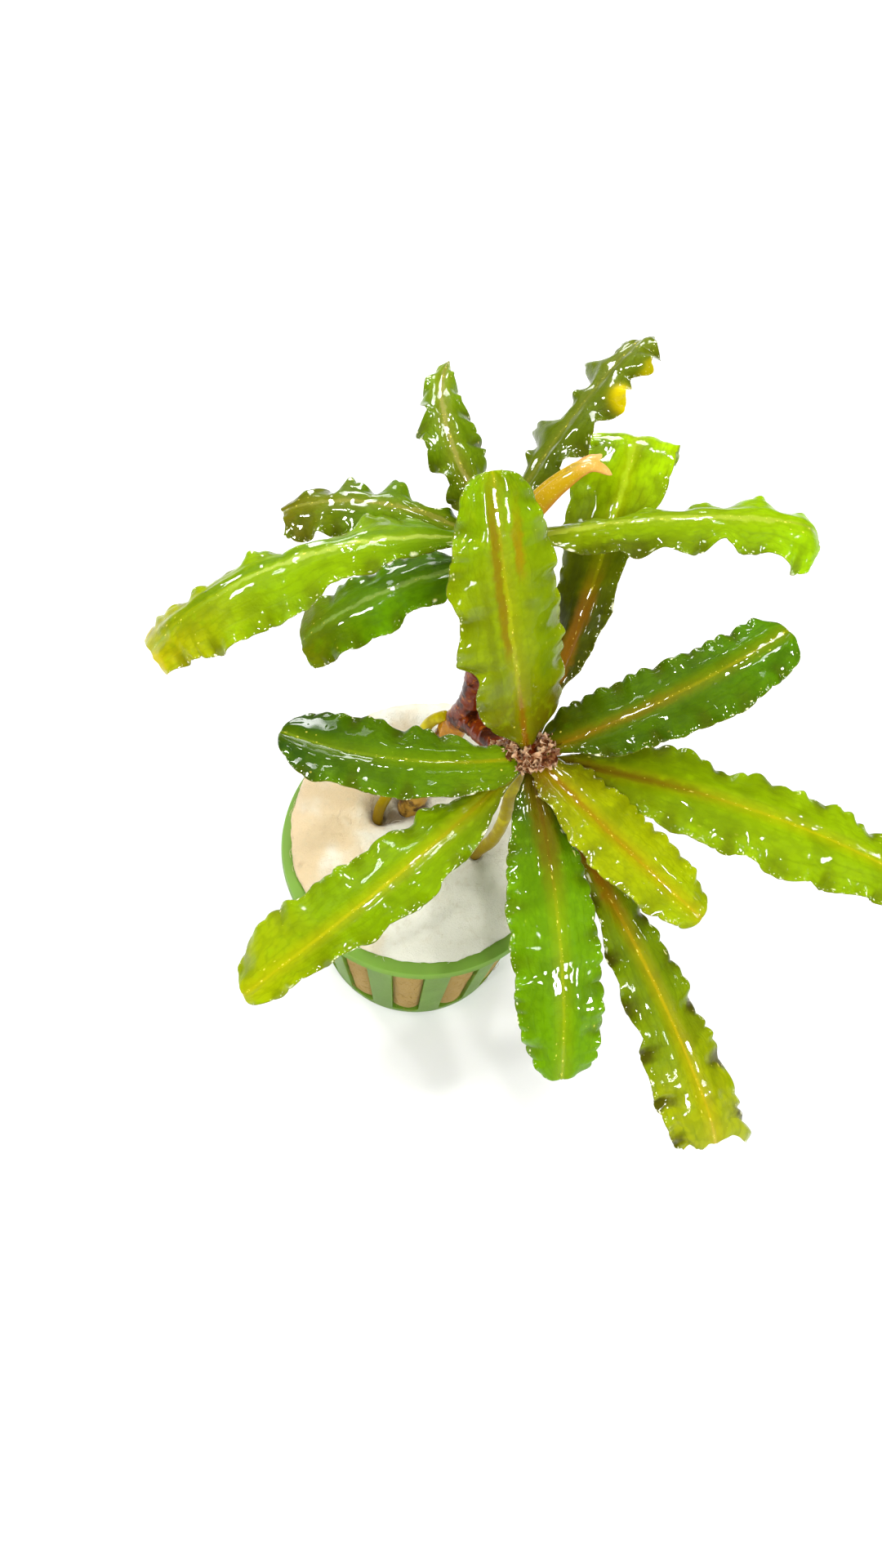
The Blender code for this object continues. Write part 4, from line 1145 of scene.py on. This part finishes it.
class PLANT_OT_wool(Operator):
    """Makes the lumpy wool plug and its loose fibres"""
    bl_idname = "plant.wool"
    bl_label = "Wool plug"

    def execute(self, context):
        settings, pot = context.scene.plant_wool, context.scene.plant_pot
        rings = wool_rings(pot)
        found = [pair for ring in rings for pair in wool_ring(ring, pot, settings.lump / MM)]
        points, dents = (list(values) for values in zip(*found))
        faces = ring_faces(len(rings), WOOL_COLUMNS)
        for first, order in ((0, -1), ((len(rings) - 1) * WOOL_COLUMNS, 1)):
            row = range(first, first + WOOL_COLUMNS)
            points.append(sum((points[k] for k in row), Vector()) / WOOL_COLUMNS)
            dents.append(0.0)
            for k in range(WOOL_COLUMNS):
                faces.append([row[k], row[(k + 1) % WOOL_COLUMNS], len(points) - 1][::order])
        finish = wool_finish(settings)
        wool = piece("Wool_plug", points, faces, finish)
        attribute(wool, "dent", dents)
        fibres = link_new("Wool_fibres", wool.data.copy())
        feed(fibres, fibre_tree(), density=settings.fibres * 1e4, length=2.2 * MM, thickness=0.03 * MM,
             seed=5, finish=finish)
        keep(wool, "wool", "wool_plug")
        keep(modified(fibres), "wool")
        return {"FINISHED"}


class PLANT_OT_rhizome(Operator):
    """Makes the ringed stem, its side branch and the papery scales of the low crown"""
    bl_idname = "plant.rhizome"
    bl_label = "Rhizome"

    def execute(self, context):
        settings = context.scene.plant_stem
        shared = dict(finish=rhizome_finish(), sides=40, spacing=0.16 * MM, lump_height=0.35 * MM,
                      lump_size=1.9 * MM, ring_pitch=settings.ring_pitch, ring_height=settings.ring_height)
        main = make_stem("Rhizome_main", MAIN_ROUTE, MAIN_RADII, rounded=(1.0, 2.2), seed=3.0, **shared)
        keep(main, "rhizome", "rhizome_main")
        fork = make_stem("Rhizome_fork", FORK_ROUTE, FORK_RADII, rounded=(0.0, 2.4), seed=8.0, **shared)
        keep(fork, "rhizome", "rhizome_fork")

        draw = random.Random(SCALE_SEED)
        points, faces, along = [], [], []
        for k in range(settings.scales):
            made, quads, table = blade(self.flake(draw), *SCALE_SHEET)
            faces += [[len(points) + i for i in face] for face in quads]
            points += made.tolist()
            along += table["along"].ravel().tolist()
        scales = piece("Papery_scales", points, faces, scale_finish())
        attribute(scales, "along", along)
        keep(scales, "rhizome")
        return {"FINISHED"}

    def flake(self, draw):
        """One scale at a random place on the side branch's end, as a short leaf without a stalk."""
        end = Vector(FORK_ROUTE[-1])
        axis = (end - Vector(FORK_ROUTE[-2])).normalized()
        ring = draw.random() ** 0.7
        turn = math.degrees(draw.uniform(0, math.tau))
        out = Vector((math.cos(math.radians(turn)), math.sin(math.radians(turn)), 0.0))
        reach = mix(2.4, 2.1, ring) * math.sqrt(draw.uniform(0.0, 1.1))
        foot = end - axis * mix(6.5, -0.4, ring) + out * reach
        long, wide = draw.uniform(1.4, 3.6), draw.uniform(4.5, 12)
        return dict(base=tuple(foot), length=long, heading=(turn, turn + draw.uniform(-140, 140)),
                    rise=(draw.uniform(10, 80), draw.uniform(-30, 150)), stalked=False,
                    droop=(draw.uniform(-40, 40), draw.uniform(-50, 70)),
                    left=(wide * 0.8, wide, wide * 1.05, wide * draw.uniform(0.5, 0.9), wide * 0.35),
                    right=(wide * 0.8, wide, wide, wide * draw.uniform(0.5, 0.9), wide * 0.35),
                    cap=(long * 0.25, 1.4), ruffle=0.35, waves=2.4, phase=draw.uniform(0, 6), scallop=0.16,
                    spacing=draw.uniform(0.5, 1.0))


class PLANT_OT_roots(Operator):
    """Makes the two roots that run down into the wool"""
    bl_idname = "plant.roots"
    bl_label = "Roots"

    def execute(self, context):
        shared = dict(finish=root_finish(), rounded=(0.8, 0.8), sides=20, spacing=0.2 * MM,
                      lump_height=0.12 * MM, lump_size=2.2 * MM, ring_pitch=3.0 * MM, ring_height=0.02 * MM)
        for node, route, radius, seed in (("root_front", FRONT_ROOT_ROUTE, FRONT_ROOT_RADIUS, 2.0),
                                          ("root_back", BACK_ROOT_ROUTE, BACK_ROOT_RADIUS, 6.0)):
            root = make_stem(node.capitalize(), route, [radius] * len(route), seed=seed, **shared)
            keep(root, "root", node)
        return {"FINISHED"}


class PLANT_OT_young_leaf(Operator):
    """Makes the rolled orange young leaf with its hooked tip"""
    bl_idname = "plant.young_leaf"
    bl_label = "Young leaf"

    def execute(self, context):
        line, girth, far = smooth_route(YOUNG_ROUTE, YOUNG_RADII, YOUNG_ROWS)
        ahead = np.gradient(line, axis=0)
        ahead /= np.linalg.norm(ahead, axis=1, keepdims=True)
        across = np.cross(ahead, (0.0, 0.0, 1.0))
        across /= np.linalg.norm(across, axis=1, keepdims=True)
        up = np.cross(across, ahead)
        share = far / far[-1]
        turn = np.linspace(0.0, math.tau, YOUNG_SIDES, endpoint=False)
        flatter = mix(1.0, 0.62, smooth((share - 0.3) / 0.6))[:, None]
        girth = girth * dome((1.0 - share) / 0.06, 0.01)
        seam = 1.0 - 0.16 * hill(turn - 2.0, 0.28) + 0.12 * hill(turn - 2.5, 0.3)
        reach = girth[:, None] * seam
        points = line[:, None] + across[:, None] * (reach * np.cos(turn))[..., None]
        points = (points + up[:, None] * (reach * flatter * np.sin(turn))[..., None]).reshape(-1, 3)
        faces = ring_faces(YOUNG_ROWS, YOUNG_SIDES)
        faces += [list(range(YOUNG_SIDES))[::-1], list(range(len(points) - YOUNG_SIDES, len(points)))]

        flap, quads, table = blade(YOUNG_FLAP, *FLAP_SHEET)
        faces += [[len(points) + i for i in face] for face in quads]
        young = piece("Young_leaf", np.vstack([points, flap]), faces, young_finish())
        attribute(young, "along", np.concatenate([np.repeat(share, YOUNG_SIDES),
                                                  0.75 + 0.25 * table["along"].ravel()]))
        attribute(young, "across", np.concatenate([np.tile(np.cos(turn + 1.0), YOUNG_ROWS),
                                                   table["across"].ravel()]))
        keep(young, "young_leaf", "young_leaf")
        return {"FINISHED"}


class PLANT_OT_low_leaves(Operator):
    """Makes the nine leaves of the low crown"""
    bl_idname = "plant.low_leaves"
    bl_label = "Low crown's leaves"

    def execute(self, context):
        for name in LOW_CROWN:
            make_leaf(name, context.scene.plant_leaf)
        return {"FINISHED"}


class PLANT_OT_high_leaves(Operator):
    """Makes the six leaves of the high crown"""
    bl_idname = "plant.high_leaves"
    bl_label = "High crown's leaves"

    def execute(self, context):
        for name in HIGH_CROWN:
            make_leaf(name, context.scene.plant_leaf)
        return {"FINISHED"}


class PLANT_PT_panel(Panel):
    """Shows the plant's operators and their settings"""
    bl_idname = "PLANT_PT_panel"
    bl_label = "Bucephalandra"
    bl_space_type = "VIEW_3D"
    bl_region_type = "UI"
    bl_category = "Plant"

    def draw(self, context):
        for operator in OPERATORS:
            self.layout.operator(operator.bl_idname)
        for name in SETTINGS:
            box = self.layout.box()
            group = getattr(context.scene, name)
            for key in group.__annotations__:
                box.prop(group, key)


OPERATORS = (PLANT_OT_stage, PLANT_OT_net_pot, PLANT_OT_wool, PLANT_OT_rhizome, PLANT_OT_roots,
             PLANT_OT_young_leaf, PLANT_OT_low_leaves, PLANT_OT_high_leaves)
SETTINGS = {"plant_stage": StageSettings, "plant_pot": PotSettings, "plant_wool": WoolSettings,
            "plant_stem": StemSettings, "plant_leaf": LeafSettings}


def register():
    for kind in (*SETTINGS.values(), *OPERATORS, PLANT_PT_panel):
        bpy.utils.register_class(kind)
    for name, kind in SETTINGS.items():
        setattr(bpy.types.Scene, name, PointerProperty(type=kind))


def unregister():
    for name in SETTINGS:
        delattr(bpy.types.Scene, name)
    for kind in (PLANT_PT_panel, *reversed(OPERATORS), *reversed(list(SETTINGS.values()))):
        bpy.utils.unregister_class(kind)


def main():
    register()
    for operator in OPERATORS:
        group, action = operator.bl_idname.split(".")
        getattr(getattr(bpy.ops, group), action)()
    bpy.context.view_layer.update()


if __name__ == "__main__":
    main()
